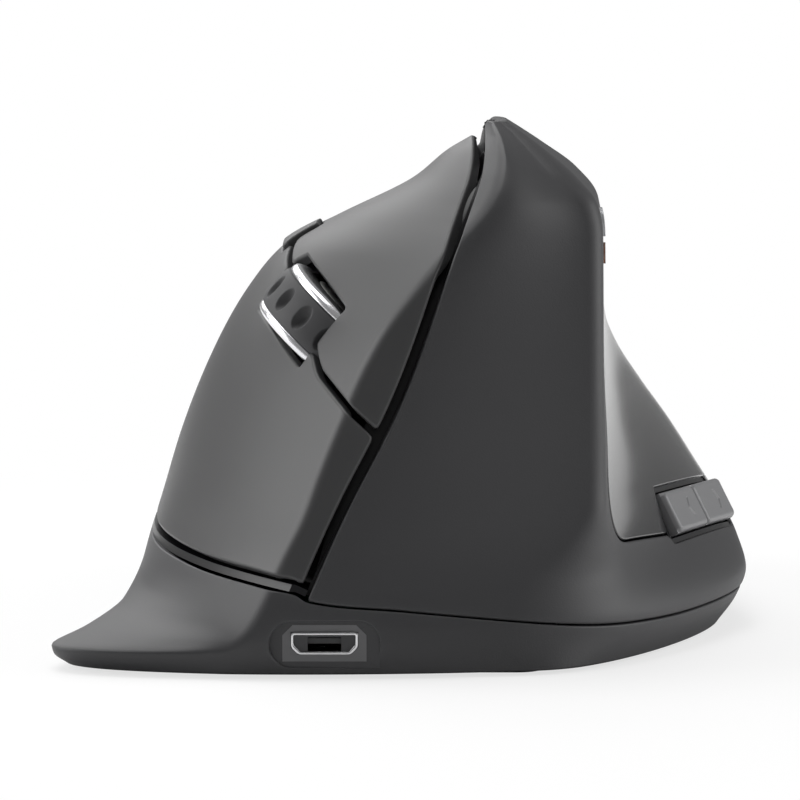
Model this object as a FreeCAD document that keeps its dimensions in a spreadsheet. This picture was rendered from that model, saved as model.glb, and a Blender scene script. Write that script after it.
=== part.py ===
import FreeCAD, Part
import math
import os
import re

import Sketcher
from FreeCAD import Placement, Rotation, Vector

# Right-hand vertical mouse, rechargeable: finger keys and wheel on the steep side, thumb keys opposite.
# Frame: +X to the thumb side, -Y to the charging port, +Z up, origin under the middle of the glide feet.

# Driving sizes in millimetres and degrees: alias, value, meaning
SIZES = (
    ("body_length", 120.3, "front wall to heel"),
    ("body_width", 81.6, "little-finger lip to thumb flare"),
    ("body_height", 60.6, "base underside to crest"),
    ("foot_height", 0.5, "glide feet below the base"),
    ("wall", 1.8, "moulded wall of all shells"),
    ("seam_gap", 0.2, "fine parting seams"),
    ("fit_gap", 0.1, "sliding and seated pieces"),
    ("slot_gap", 1.0, "slot between finger keys and main shell"),
    ("split_gap", 0.8, "slot between the two finger keys"),
    ("sill_height", 1.0, "visible sill of the carrier above the base seam"),
    ("key_gap", 0.65, "finger keys above the sill, and behind them"),
    ("key_clearance", 1.1, "carrier below the finger keys"),
    ("carrier_wall", 1.4, "wall of the key carrier"),
    ("carrier_flange", 3.0, "carrier flange behind the main shell"),
    ("hinge_tab", 6.0, "hinge tab of a finger key behind its rear edge"),
    ("key_length", 31.5, "finger keys behind the wheel axle"),
    ("wheel_radius", 11.0, "tyre outside"),
    ("wheel_rise", 3.0, "tyre above the finger keys"),
    ("tyre_width", 4.6, "rubber tyre"),
    ("tyre_depth", 2.0, "rubber on the hub"),
    ("rim_width", 1.2, "bright rim beside the tyre"),
    ("rim_drop", 0.5, "rim below the tyre"),
    ("rim_depth", 3.5, "rim from its edge inwards"),
    ("dimple_radius", 1.6, "tread dimples"),
    ("dimple_depth", 0.7, "tread dimples"),
    ("axle_radius", 1.0, "wheel axle"),
    ("pin_radius", 1.0, "cradle pivot pin"),
    ("cheek", 1.4, "cheeks of the wheel cradle"),
    ("wheel_clearance", 0.8, "wheel to cradle and to its opening"),
    ("board", 1.2, "circuit boards"),
    ("board_drop", 8.0, "top of the key board below the wheel axle"),
    ("pivot_back", 14.5, "cradle pivot behind the axle"),
    ("pivot_drop", 3.5, "cradle pivot below the axle"),
    ("switch_length", 12.8, "snap-action switch"),
    ("switch_width", 5.8, "snap-action switch"),
    ("switch_height", 6.5, "snap-action switch"),
    ("plunger_height", 0.7, "switch plungers"),
    ("tact_size", 6.0, "tactile switch"),
    ("tact_height", 3.5, "tactile switch"),
    ("press_gap", 0.55, "button stem above its plunger"),
    ("port_width", 7.5, "micro USB shell"),
    ("port_height", 2.5, "micro USB shell"),
    ("port_depth", 5.2, "micro USB shell"),
    ("port_wall", 0.3, "micro USB shell"),
    ("recess_width", 12.4, "plug recess in the front wall"),
    ("recess_height", 5.2, "plug recess in the front wall"),
    ("recess_depth", 0.9, "plug recess in the front wall"),
    ("bezel_depth", 0.6, "light guide round the port"),
    ("thumb_key_length", 12.2, "one thumb key"),
    ("thumb_key_height", 5.2, "thumb keys"),
    ("thumb_key_rise", 0.9, "thumb keys above the panel"),
    ("thumb_travel", 0.5, "thumb key stroke"),
    ("bezel_wall", 0.6, "black pocket round the thumb keys"),
    ("foot_inset", 0.3, "glide feet sunk into the base"),
    ("screw_radius", 1.1, "shell screws"),
    ("head_radius", 2.2, "heads of the shell screws"),
    ("boss_radius", 3.0, "screw bosses"),
    ("battery_length", 30.0, "lithium cell"),
    ("battery_width", 26.0, "lithium cell"),
    ("battery_height", 6.0, "lithium cell"),
)

# Guide profiles of the outer form: heights above the base underside with the place of one guide line.
# They are drawn on a body of 60.6 high, and scaled to the driving sizes by their own spans.
GUIDES = {
    "side_x": ((0, -38.6), (1.2, -40.4), (2.2, -40.7), (3.4, -38.4), (4.8, -35.2), (7, -32.9),
               (9.3, -31.7), (14.9, -29.8), (22.2, -27.4), (32.4, -23.5), (40.1, -19.2),
               (45.5, -14.6), (48.9, -8.4), (53.6, 1.3), (57, 5.2), (59.4, 7.4), (60.6, 9)),
    "side_y": ((0, -46), (2.2, -48), (3.4, -42), (4.8, -26), (7, -9), (9.3, -3), (30, -7),
               (45, -14), (53.6, -22), (60.6, -28)),
    "crease_x": ((0, -34), (2.2, -33), (3.5, -24), (5.3, -18.5), (7.2, -15.2), (9.3, -13.6),
                 (17.1, -11.3), (28.4, -7.4), (42, -1.2), (53.3, 3.95), (58, 6.8), (60.6, 9.4)),
    "crease_turn": ((0, 0), (2.2, 0), (3.5, 20), (5.3, 38), (9.3, 50), (53, 58), (60.6, 80)),
    "front_y": ((0, -59.6), (4, -60), (9.3, -59.4), (20, -57.4), (30, -55.6), (40, -53.4),
                (48, -50.8), (53, -48), (57, -43.5), (59.4, -38.5), (60.6, -34)),
    "corner_x": ((0, 16.6), (5, 19.8), (9, 21.2), (13, 21.9), (20, 22), (48, 22), (51.5, 21.4),
                 (54.6, 19), (57.5, 15.6), (59.4, 13), (60.6, 11.2)),
    "corner_y": ((0, -58.6), (5, -56.5), (9, -53), (13, -49.8), (20, -48), (30, -47), (40, -45.5),
                 (48, -43.5), (54.6, -40.5), (57.5, -37.5), (60.6, -32)),
    "corner_r": ((0, 4), (4, 9), (9, 9), (13, 5), (18, 1.8), (50, 1.8), (55, 2.4), (60.6, 0.8)),
    "wall_turn": ((0, 4), (5, 5), (13, 14), (20, 18), (60.6, 18)),
    "thumb_x": ((0, 34.6), (3, 38), (6.1, 40.55), (9.4, 39.7), (13.3, 37.7), (17.3, 35.2),
                (22.5, 31.9), (27.7, 28.2), (32.6, 25.1), (36, 23.7), (41, 23), (47.2, 22.9),
                (51, 22.4), (54.6, 19.7), (57.5, 15.9), (59.4, 13.2), (60.6, 11.4)),
    "thumb_y": ((0, -8), (6, -8), (13, 2), (25, 2), (36, -4), (48, -10), (55, -16), (60.6, -25)),
    "thumb_turn": ((0, 33), (5, 30), (13, 17), (25, 10), (36, 2), (60.6, 2)),
    "heel_y": ((0, 56.6), (3, 59.2), (6, 60), (10, 59.4), (20, 54), (30, 45.4), (40, 33),
               (48, 20), (54, 6.5), (58, -6), (60.6, -19)),
    "heel_x": ((0, 3), (20, 3), (40, 6), (54, 10), (60.6, 10.2)),
}
OUTER_LEVELS = (0, 0.9, 1.8, 2.6, 3.6, 5.2, 7.2, 9.3, 13, 18, 24, 30, 36, 41, 45, 48.5, 51.5,
                54, 56, 58, 59.6, 60.6)
INNER_LEVELS = (0, 0.8, 2, 3.8, 6.2, 9.2, 14, 20, 26, 32, 37, 41, 44.5, 47.5, 50.5, 53, 54.5)

# Slot line between the finger keys and the main shell, seen from the front: x and height
SLOT_LINE = ((-11.7, 9.6), (-6, 20.9), (-2.3, 28.3), (3, 42), (5.2, 48.8), (7.6, 54.6), (9.2, 58.6), (9.7, 62))
# Seam between the base and the shells above it, seen from the front: x and height
BASE_SEAM = ((-50, 11.6), (-31, 10.7), (-22, 9.8), (-12.6, 9.1), (-10.6, 8.2), (-0.5, 7), (12, 5.9),
             (21, 4.9), (30, 4.3), (50, 3.2))
# Thumb panel seen from the thumb side: y and height
PANEL_OUTLINE = ((-46.6, 15.5), (-46.2, 34.5), (-43, 38.4), (-26, 40.4), (-4, 38), (10, 30.5), (15.5, 20),
                 (12, 13.2), (-2, 11.6), (-24, 12), (-42, 12.6))

ALIASES = {alias for alias, value, meaning in SIZES}

doc = FreeCAD.newDocument("vertical_mouse")
sheet = doc.addObject("Spreadsheet::Sheet", "Sizes")
for row, (alias, value, meaning) in enumerate(SIZES, start=1):
    sheet.set(f"A{row}", meaning)
    sheet.set(f"B{row}", str(value))
    sheet.setAlias(f"B{row}", alias)
doc.recompute()


def size(alias):
    """Value of one driving size."""
    return float(sheet.get(alias))


wall = size("wall")
foot_height = size("foot_height")
seam_gap = size("seam_gap")
fit_gap = size("fit_gap")
nodes = []


# Guides

def span(low_guide, high_guide):
    """Distance between the extremes of two guide lines, as drawn."""
    low = min(place for height, place in GUIDES[low_guide])
    high = max(place for height, place in GUIDES[high_guide])
    return high - low


drawn_height = OUTER_LEVELS[-1]
scale_x = size("body_width") / span("side_x", "thumb_x")
scale_y = size("body_length") / span("front_y", "heel_y")
scale_z = size("body_height") / drawn_height
GUIDE_SCALE = {"x": scale_x, "y": scale_y, "r": scale_x, "turn": 1.0}


def guide(name, height):
    """Guide line at a height above the base underside, by a monotone cubic through its knots."""
    knots = GUIDES[name]
    drawn = min(max(height / scale_z, knots[0][0]), knots[-1][0])
    count = len(knots)
    steps = [knots[i + 1][0] - knots[i][0] for i in range(count - 1)]
    slopes = [(knots[i + 1][1] - knots[i][1]) / steps[i] for i in range(count - 1)]
    tangents = [slopes[0]] + [0.0] * (count - 2) + [slopes[-1]]
    for i in range(1, count - 1):
        if slopes[i - 1] * slopes[i] > 0:
            near = 2 * steps[i] + steps[i - 1]
            far = steps[i] + 2 * steps[i - 1]
            tangents[i] = (near + far) / (near / slopes[i - 1] + far / slopes[i])
    i = max(k for k in range(count - 1) if knots[k][0] <= drawn)
    t = (drawn - knots[i][0]) / steps[i]
    place = (2 * t**3 - 3 * t**2 + 1) * knots[i][1] + (t**3 - 2 * t**2 + t) * steps[i] * tangents[i]
    place += (3 * t**2 - 2 * t**3) * knots[i + 1][1] + (t**3 - t**2) * steps[i] * tangents[i + 1]
    return place * GUIDE_SCALE[name.split("_")[-1]]


def inset_guide(name, height, inset, outward):
    """Guide line moved inwards, also from what closes over it one inset higher up."""
    here = guide(name, height)
    above = guide(name, height + inset)
    if outward > 0:
        return min(here, above) - inset
    return max(here, above) + inset


def plan_curves(height, inset):
    """Six cubic curves of the plan outline at a height: control points as (x, y)."""
    front = inset_guide("front_y", height, inset, -1)
    side = (inset_guide("side_x", height, inset, -1), guide("side_y", height + inset))
    crease_x = inset_guide("crease_x", height, inset, -1) - 0.4 * inset
    crease = (max(crease_x, side[0] + 0.3), front + 0.8)
    corner = (inset_guide("corner_x", height, inset, 1) + 0.2 * inset,
              inset_guide("corner_y", height, inset, -1) - 0.2 * inset)
    radius = max(guide("corner_r", height + inset) - 0.4 * inset, 0.6)
    thumb = (inset_guide("thumb_x", height, inset, 1), guide("thumb_y", height + inset))
    heel = (guide("heel_x", height + inset), inset_guide("heel_y", height, inset, 1))

    wall_turn = math.radians(guide("wall_turn", height))
    thumb_turn = math.radians(guide("thumb_turn", height))
    crease_turn = math.radians(guide("crease_turn", height + inset))
    wall_way = (-math.cos(wall_turn), -math.sin(wall_turn))
    thumb_way = (math.sin(thumb_turn), math.cos(thumb_turn))
    crease_way = (-math.cos(crease_turn), math.sin(crease_turn))

    def along(point, way, distance):
        return (point[0] + distance * way[0], point[1] + distance * way[1])

    def between(start, end, share):
        return (start[0] + share * (end[0] - start[0]), start[1] + share * (end[1] - start[1]))

    wall_end = along(corner, wall_way, radius)
    thumb_start = along(corner, thumb_way, radius)
    wall_third = (wall_end[0] - crease[0]) / 3
    facet = 0.4 * math.hypot(side[0] - crease[0], side[1] - crease[1])
    side_run = 0.5 * (heel[1] - max(side[1], -5.0))
    thumb_run = thumb[1] - thumb_start[1]
    return (
        (wall_end, along(wall_end, wall_way, wall_third), (crease[0] + wall_third, front), crease),
        (crease, along(crease, crease_way, facet), (side[0], side[1] - facet), side),
        (side, (side[0], side[1] + side_run), (heel[0] - 0.55 * (heel[0] - side[0]), heel[1]), heel),
        (heel, (heel[0] + 0.55 * (thumb[0] - heel[0]), heel[1]),
         (thumb[0], thumb[1] + 0.5 * (heel[1] - thumb[1])), thumb),
        (thumb, (thumb[0], thumb[1] - 0.25 * thumb_run), along(thumb_start, thumb_way, 0.3 * thumb_run),
         thumb_start),
        (thumb_start, between(thumb_start, corner, 2 / 3), between(wall_end, corner, 2 / 3), wall_end),
    )


def plan_wire(height, inset):
    """Closed plan outline at a height above the base underside."""
    edges = []
    for points in plan_curves(height, inset):
        curve = Part.BezierCurve()
        curve.setPoles([Vector(x, y, foot_height + height) for x, y in points])
        edges.append(curve.toShape())
    return Part.Wire(edges)


def body_form(inset):
    """Solid of the whole outer form, moved inwards by an inset."""
    if inset == 0:
        levels = [level * scale_z for level in OUTER_LEVELS]
    else:
        top = size("body_height") - 2.3 * inset
        levels = [inset + level * (top - inset) / INNER_LEVELS[-1] for level in INNER_LEVELS]
    return Part.makeLoft([plan_wire(level, inset) for level in levels], True, False, False, 3)


# Shared geometry

def front_point(x, height):
    """Point of a line drawn in the front view, scaled to the body."""
    return Vector(x * scale_x, -size("body_length"), foot_height + height * scale_z)


def shifted(points, distance):
    """Points of a line in the front view, moved to its right by a distance."""
    moved = []
    for i, point in enumerate(points):
        run = points[min(i + 1, len(points) - 1)] - points[max(i - 1, 0)]
        normal = Vector(run.z, 0, -run.x).normalize()
        moved.append(point + normal * distance)
    return moved


def line_through(points, smooth):
    """Edge or edges through points, as one smooth curve or as straight runs."""
    if smooth:
        curve = Part.BSplineCurve()
        curve.interpolate(points)
        return [curve.toShape()]
    return Part.makePolygon(points).Edges


def front_prism(edges):
    """Solid of a closed front-view outline, through the whole body along Y."""
    face = Part.Face(Part.Wire(Part.__sortEdges__(edges)))
    return face.extrude(Vector(0, 2 * size("body_length"), 0))


slot_points = [front_point(x, height) for x, height in SLOT_LINE]
seam_points = [front_point(x, height) for x, height in BASE_SEAM]


def below_seam(rise):
    """Everything below the base seam, raised by a distance."""
    seam = [point + Vector(0, 0, rise) for point in seam_points]
    floor = [Vector(seam[-1].x, seam[-1].y, -10), Vector(seam[0].x, seam[0].y, -10)]
    return front_prism(line_through(seam, False) + line_through([seam[-1]] + floor + [seam[0]], False))


def finger_zone(slot_shift, rise):
    """Everything on the finger side of the shifted slot line and above the raised base seam."""
    slot = shifted(slot_points, slot_shift)
    top = slot[-1]
    # The slot line is carried down past the seam, and the seam prism trims it
    start = slot[0] + (slot[0] - slot[1])
    far_x = seam_points[0].x
    corners = [top, Vector(far_x, top.y, top.z + 5), Vector(far_x, top.y, start.z), start]
    edges = line_through(slot, True) + line_through([start, slot[0]], False) + line_through(corners, False)
    return front_prism(edges).cut(below_seam(rise))


def hit(origin, way, solid):
    """Distance along a way to the last crossing of a solid's surface."""
    reach = 2 * size("body_length")
    shared = solid.common(Part.makeLine(origin, origin + way * reach))
    return max((vertex.Point - origin).dot(way) for vertex in shared.Vertexes)


def tilted_frame(origin, x_way, z_way):
    """Placement with its own X near x_way and its Z along z_way."""
    z_axis = Vector(z_way).normalize()
    y_axis = z_axis.cross(x_way).normalize()
    x_axis = y_axis.cross(z_axis)
    matrix = FreeCAD.Matrix(x_axis.x, y_axis.x, z_axis.x, origin.x, x_axis.y, y_axis.y, z_axis.y, origin.y,
                            x_axis.z, y_axis.z, z_axis.z, origin.z, 0, 0, 0, 1)
    return Placement(matrix)


outer = body_form(0)
inner = body_form(wall)
flush = body_form(0.25)
flange_form = body_form(wall + fit_gap)
tab_form = body_form(wall + 0.8)
carrier_form = body_form(wall + size("key_clearance"))
carrier_core = body_form(wall + size("key_clearance") + size("carrier_wall"))

# Finger frame: origin in the wheel axle, X across towards the crest, Y to the heel, Z out of the side
FINGER_NORMAL = Vector(-0.7243, -0.2704, 0.6343)
FINGER_ACROSS = Vector(0.6669, -0.0409, 0.7441)
wheel_mark = Vector(0, -36 * scale_y, foot_height + 40 * scale_z)
wheel_surface = wheel_mark - Vector(1, 0, 0) * hit(wheel_mark, Vector(-1, 0, 0), outer)
wheel_centre = wheel_surface - FINGER_NORMAL * (size("wheel_radius") - size("wheel_rise"))
finger = tilted_frame(wheel_centre, FINGER_ACROSS, FINGER_NORMAL)

# Thumb frame: origin on the panel between the thumb keys, X along them to the heel, Z out of the panel
THUMB_NORMAL = Vector(0.842, -0.262, 0.472)
THUMB_ALONG = Vector(0.30, 0.953, -0.04)
thumb_mark = Vector(0, -14 * scale_y, foot_height + 13.8 * scale_z)
thumb_surface = thumb_mark + Vector(1, 0, 0) * hit(thumb_mark, Vector(1, 0, 0), outer)
thumb = tilted_frame(thumb_surface, THUMB_ALONG, THUMB_NORMAL)


def block(frame, low, high):
    """Box between two corners given in a frame."""
    box = Part.makeBox(high[0] - low[0], high[1] - low[1], high[2] - low[2], Vector(*low))
    box.Placement = frame
    return box


def rod(frame, centre, radius, low, high):
    """Cylinder along a frame's Z between two heights."""
    rod_shape = Part.makeCylinder(radius, high - low, Vector(centre[0], centre[1], low))
    rod_shape.Placement = frame
    return rod_shape


def at(frame, x, y, z):
    """Placement moved within a frame."""
    return frame.multiply(Placement(Vector(x, y, z), Rotation()))


def prism_in(frame, corners, low, high):
    """Prism of a polygon in a frame's XY plane between two heights."""
    points = [Vector(x, y, low) for x, y in corners]
    prism = Part.Face(Part.makePolygon(points + [points[0]])).extrude(Vector(0, 0, high - low))
    prism.Placement = frame
    return prism


ALL = 200.0
GLOBAL = Placement()


def add_shape(name, shape):
    """Node made from a shape of the moulded body."""
    piece = doc.addObject("Part::Feature", name)
    piece.Label = name
    piece.Shape = shape
    nodes.append(piece)
    return piece


# Node helpers: sketched bodies whose sizes are bound to the sheet

def new_body(name, placement):
    """Body for one piece, placed in the mouse."""
    body = doc.addObject("PartDesign::Body", name)
    body.Label = name
    body.Placement = placement
    nodes.append(body)
    return body


def origin_feature(body, role):
    """One of the body's own origin planes or axes."""
    return [feature for feature in body.Origin.OriginFeatures if feature.Role == role][0]


def new_sketch(body, role="XY_Plane", lift=0):
    """Sketch on one of the body's own origin planes, lifted off it by an expression."""
    sketch = body.newObject("Sketcher::SketchObject", "Sketch")
    sketch.AttachmentSupport = [(origin_feature(body, role), "")]
    sketch.MapMode = "FlatFace"
    sketch.setExpression(".AttachmentOffset.Base.z", bound(lift))
    return sketch


def bound(expression):
    """Expression with every alias of the sheet qualified by the sheet's name."""
    return re.sub(r"[a-z_]+", lambda word: f"Sizes.{word.group()}" if word.group() in ALIASES else word.group(),
                  str(expression))


def bind_distance(sketch, kind, ends, expression):
    """Dimension of a sketch bound to an expression."""
    text = bound(expression)
    number = sketch.evalExpression(text)
    index = sketch.addConstraint(Sketcher.Constraint(kind, *ends, float(getattr(number, "Value", number))))
    sketch.setExpression(f"Constraints[{index}]", text)


def sketch_rectangle(sketch, width, height, left, bottom):
    """Rectangle whose size and place are expressions."""
    first = sketch.GeometryCount
    corners = [Vector(0, 0, 0), Vector(5, 0, 0), Vector(5, 5, 0), Vector(0, 5, 0)]
    for i in range(4):
        sketch.addGeometry(Part.LineSegment(corners[i], corners[(i + 1) % 4]))
    for i in range(4):
        sketch.addConstraint(Sketcher.Constraint("Coincident", first + i, 2, first + (i + 1) % 4, 1))
    for i, kind in enumerate(("Horizontal", "Vertical", "Horizontal", "Vertical")):
        sketch.addConstraint(Sketcher.Constraint(kind, first + i))
    bind_distance(sketch, "DistanceX", (first, 1, first, 2), width)
    bind_distance(sketch, "DistanceY", (first + 1, 1, first + 1, 2), height)
    bind_distance(sketch, "DistanceX", (-1, 1, first, 1), left)
    bind_distance(sketch, "DistanceY", (-1, 1, first, 1), bottom)


def sketch_circle(sketch, radius, x=0, y=0):
    """Circle whose radius and centre are expressions."""
    first = sketch.GeometryCount
    sketch.addGeometry(Part.Circle(Vector(0, 0, 0), Vector(0, 0, 1), 1))
    bind_distance(sketch, "DistanceX", (-1, 1, first, 3), x)
    bind_distance(sketch, "DistanceY", (-1, 1, first, 3), y)
    bind_distance(sketch, "Radius", (first,), radius)


def sketch_outline(sketch, corners):
    """Closed straight outline through corners."""
    points = [Vector(x, y, 0) for x, y in corners]
    first = sketch.GeometryCount
    for i, point in enumerate(points):
        sketch.addGeometry(Part.LineSegment(point, points[(i + 1) % len(points)]))
    for i in range(len(points)):
        sketch.addConstraint(Sketcher.Constraint("Coincident", first + i, 2, first + (i + 1) % len(points), 1))
        sketch.addConstraint(Sketcher.Constraint("Block", first + i))


def add_pad(body, sketch, length, both_sides=False, reverse=False):
    """Pad of a sketch by an expression."""
    pad = body.newObject("PartDesign::Pad", "Pad")
    pad.Profile = sketch
    pad.setExpression("Length", bound(length))
    pad.Midplane = both_sides
    pad.Reversed = reverse
    doc.recompute()
    return pad


def add_pocket(body, sketch, length, both_sides=False, reverse=False):
    """Pocket of a sketch by an expression, checked to remove material."""
    before = body.Shape.Volume
    pocket = body.newObject("PartDesign::Pocket", "Pocket")
    pocket.Profile = sketch
    pocket.setExpression("Length", bound(length))
    pocket.Midplane = both_sides
    pocket.Reversed = reverse
    doc.recompute()
    if body.Shape.Volume > before - 1e-6:
        raise RuntimeError(f"a pocket in {body.Label} cuts nothing")
    return pocket


def add_revolution(body, sketch):
    """Full turn of a sketch about the body's X axis."""
    turn = body.newObject("PartDesign::Revolution", "Revolution")
    turn.Profile = sketch
    turn.ReferenceAxis = (origin_feature(body, "X_Axis"), [""])
    turn.Angle = 360
    doc.recompute()
    return turn


def named_edges(feature):
    """Edges of a feature with their names."""
    return [(f"Edge{i}", edge) for i, edge in enumerate(feature.Shape.Edges, start=1)]


def edge_radius(edge):
    """Radius of a round edge, or zero."""
    return edge.Curve.Radius if hasattr(edge.Curve, "Radius") else 0.0


def edges_along(feature, axis, low=-1e9, high=1e9):
    """Names of a feature's straight edges along an axis whose middle lies in a height range."""
    names = []
    for name, edge in named_edges(feature):
        if len(edge.Vertexes) < 2:
            continue
        run = edge.Vertexes[1].Point - edge.Vertexes[0].Point
        middle = (edge.Vertexes[1].Point + edge.Vertexes[0].Point) * 0.5
        if run.Length > 1e-6 and abs(run.dot(axis)) / run.Length > 0.999 and low <= middle.z <= high:
            names.append(name)
    return names


def add_dressing(body, kind, base, edges, amount):
    """Fillet or chamfer of named edges by an expression."""
    dressing = body.newObject(f"PartDesign::{kind}", kind)
    dressing.Base = (base, edges)
    dressing.setExpression("Radius" if kind == "Fillet" else "Size", bound(amount))
    doc.recompute()
    return dressing


# Thumb keys and boards: places in their frames
thumb_floor = 3.4
thumb_key_x = size("thumb_key_length") / 2 + 0.15
thumb_board_drop = thumb_floor + 1.0 + 1.2 + size("tact_height")

# Finger side: places in the finger frame
switch_top = -size("board_drop") + size("switch_height")
index_switch_x = 15.5
middle_switch_x = -14.6
finger_switch_y = -3.5
dpi_x = 4.4
dpi_y = 20.5
wheel_switch_x = 9.6
wheel_switch_y = -6.0
carrier_posts = ((14, 15.5), (-14.8, 15.5))
cradle_width = size("tyre_width") + 2 * (size("rim_width") + size("wheel_clearance") + size("cheek"))
encoder_width = 4.0
axle_length = 16.8
axle_middle = -1.9
lug_low = -3.0
screw_end = -size("board_drop") + 4
surface_height = size("wheel_radius") - size("wheel_rise")
wheel_chord = math.sqrt(size("wheel_radius") ** 2 - surface_height ** 2) + size("wheel_clearance")

# Base: places in plan
boss_split = foot_height + 6.5
head_top = foot_height + 1.6
screw_bite = 8.0
boss_places = ((16 * scale_x, -40 * scale_y), (-19 * scale_x, 24 * scale_y), (21 * scale_x, 25 * scale_y))
foot_places = (((4 * scale_x, -50 * scale_y), (22, 6.5)), ((3 * scale_x, 42 * scale_y), (22, 6)),
               ((-28 * scale_x, -22 * scale_y), (6.5, 20)), ((27 * scale_x, -8 * scale_y), (6.5, 20)))
lens_places = (((-35 * scale_y, foot_height + 49.2 * scale_z), (6.0, 3.2)),
               ((-35 * scale_y, foot_height + 45.6 * scale_z), (3.2, 2.4)))
port_x = -9.4 * scale_x
port_z = foot_height + wall + 0.5 + size("port_height") / 2
front_wall_y = -hit(Vector(port_x, 0, port_z), Vector(0, -1, 0), outer)
bezel_width = size("port_width") + 1.9
bezel_height = size("port_height") + 1.6
sensor_x = 1.0
sensor_y = -14.0
power_x = -8.0
power_y = 4.0
slider_length = 3.2
cell_x = 1.0
cell_y = 30.0
main_board_z = port_z + size("port_height") / 2 + 0.05
board_posts = ((-10.5, -30), (8, 9))


# Shells

def make_base_shell():
    """Base tray with lip, floor openings, plug recess and screw bosses."""
    shape = outer.cut(inner).common(below_seam(0))
    for x, y in boss_places:
        boss = rod(GLOBAL, (x, y), size("boss_radius"), foot_height, boss_split)
        shape = shape.fuse(boss.common(outer))
    for x, y in boss_places:
        shape = shape.cut(rod(GLOBAL, (x, y), size("screw_radius") + fit_gap, -1, boss_split + 1))
        shape = shape.cut(rod(GLOBAL, (x, y), size("head_radius") + 0.3, -1, head_top))
    for x, y in board_posts:
        shape = shape.fuse(rod(GLOBAL, (x, y), 2.0, foot_height + 0.9, main_board_z))
        shape = shape.cut(rod(GLOBAL, (x, y), 0.9, main_board_z - 2.8, main_board_z + 1))
    for centre, extent in foot_places:
        shape = shape.cut(foot_pad(centre, extent, -1, foot_height + size("foot_inset"), fit_gap))
    shape = shape.cut(plug_recess())
    seat_y = front_wall_y + size("recess_depth")
    shape = shape.cut(port_prism(bezel_width + fit_gap, bezel_height + fit_gap, seat_y - 5,
                                 seat_y + size("bezel_depth")))
    shape = shape.cut(six_sided(size("port_width") + 2 * fit_gap, size("port_height") + 2 * fit_gap, seat_y - 5,
                                seat_y + 5))
    shape = shape.cut(rounded_pad((sensor_x, sensor_y), (9.0, 6.5), -1, foot_height + wall + 1, 1.5))
    shape = shape.cut(rounded_pad((power_x, power_y), (slider_length + 3.2, 3.6), -1, foot_height + wall + 1, 1.0))
    for x in (cell_x - size("battery_width") / 2 - 1.6, cell_x + size("battery_width") / 2 + fit_gap + 0.2):
        low = (x, cell_y - 8, foot_height + wall - 0.3)
        shape = shape.fuse(block(GLOBAL, low, (x + 1.3, cell_y + 8, foot_height + wall + 4)))
    return shape.removeSplitter()


def foot_pad(centre, extent, low, high, margin):
    """Glide foot pad with round ends."""
    return rounded_pad(centre, (extent[0] + 2 * margin, extent[1] + 2 * margin), low, high,
                       min(extent) / 2 - 0.4 + margin)


def rounded_pad(centre, extent, low, high, radius):
    """Upright block with rounded corners."""
    corner = Vector(centre[0] - extent[0] / 2, centre[1] - extent[1] / 2, low)
    pad = Part.makeBox(extent[0], extent[1], high - low, corner)
    upright = [edge for edge in pad.Edges if abs(edge.Vertexes[0].Z - edge.Vertexes[1].Z) > 1e-6]
    return pad.makeFillet(radius, upright)


def plug_recess():
    """Stadium recess for the plug body in the front wall."""
    corner = Vector(port_x - size("recess_width") / 2, front_wall_y - 10, port_z - 0.1 - size("recess_height") / 2)
    pad = Part.makeBox(size("recess_width"), 10 + size("recess_depth"), size("recess_height"), corner)
    ends = [edge for edge in pad.Edges if abs(edge.Vertexes[0].Y - edge.Vertexes[1].Y) > 1e-6]
    return pad.makeFillet(size("recess_height") / 2 - 0.1, ends)


def port_prism(width, height, low_y, high_y):
    """Six-cornered prism round the port, with its two upper corners cut off."""
    cut = 1.15
    half = width / 2
    outline = ((-half, -height / 2), (half, -height / 2), (half, height / 2 - cut),
               (half - cut, height / 2), (-half + cut, height / 2), (-half, height / 2 - cut))
    points = [Vector(port_x + x, low_y, port_z + z) for x, z in outline]
    return Part.Face(Part.makePolygon(points + [points[0]])).extrude(Vector(0, high_y - low_y, 0))


def main_bosses(shape):
    """Main shell with its screw bosses down to the base bosses."""
    for x, y in boss_places:
        boss = rod(GLOBAL, (x, y), size("boss_radius"), boss_split + fit_gap, ALL)
        shape = shape.fuse(boss.common(outer))
    for x, y in boss_places:
        shape = shape.cut(rod(GLOBAL, (x, y), size("screw_radius"), -1, boss_split + screw_bite))
    return shape


def make_main_shell():
    """Front wall, crest, palm and thumb side in one moulding."""
    shape = outer.cut(inner).cut(below_seam(seam_gap))
    opening = finger_zone(size("slot_gap") / 2, 0).cut(rear_of_keys(size("key_gap")))
    shape = shape.cut(opening)
    shape = shape.cut(panel_prism(seam_gap / 2)).cut(thumb_pocket(fit_gap, -12, ALL))
    shape = main_bosses(shape)
    for centre, extent in lens_places:
        shape = shape.cut(lens_plug(centre, extent, fit_gap))
    return shape.removeSplitter()


def rear_of_keys(margin):
    """Everything behind the finger keys."""
    return block(finger, (-ALL, size("key_length") + margin, -ALL), (ALL, ALL, ALL))


def panel_prism(margin):
    """Prism along X of the thumb panel outline, grown by a margin."""
    centre_y = -15.0
    centre_z = 26.0
    points = []
    for y, z in PANEL_OUTLINE:
        reach = math.hypot(y - centre_y, z - centre_z)
        grown = (reach + margin) / reach
        points.append(Vector(12 * scale_x, (centre_y + (y - centre_y) * grown) * scale_y,
                             foot_height + (centre_z + (z - centre_z) * grown) * scale_z))
    curve = Part.BSplineCurve()
    curve.interpolate(points, PeriodicFlag=True)
    return Part.Face(Part.Wire([curve.toShape()])).extrude(Vector(ALL, 0, 0))


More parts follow.
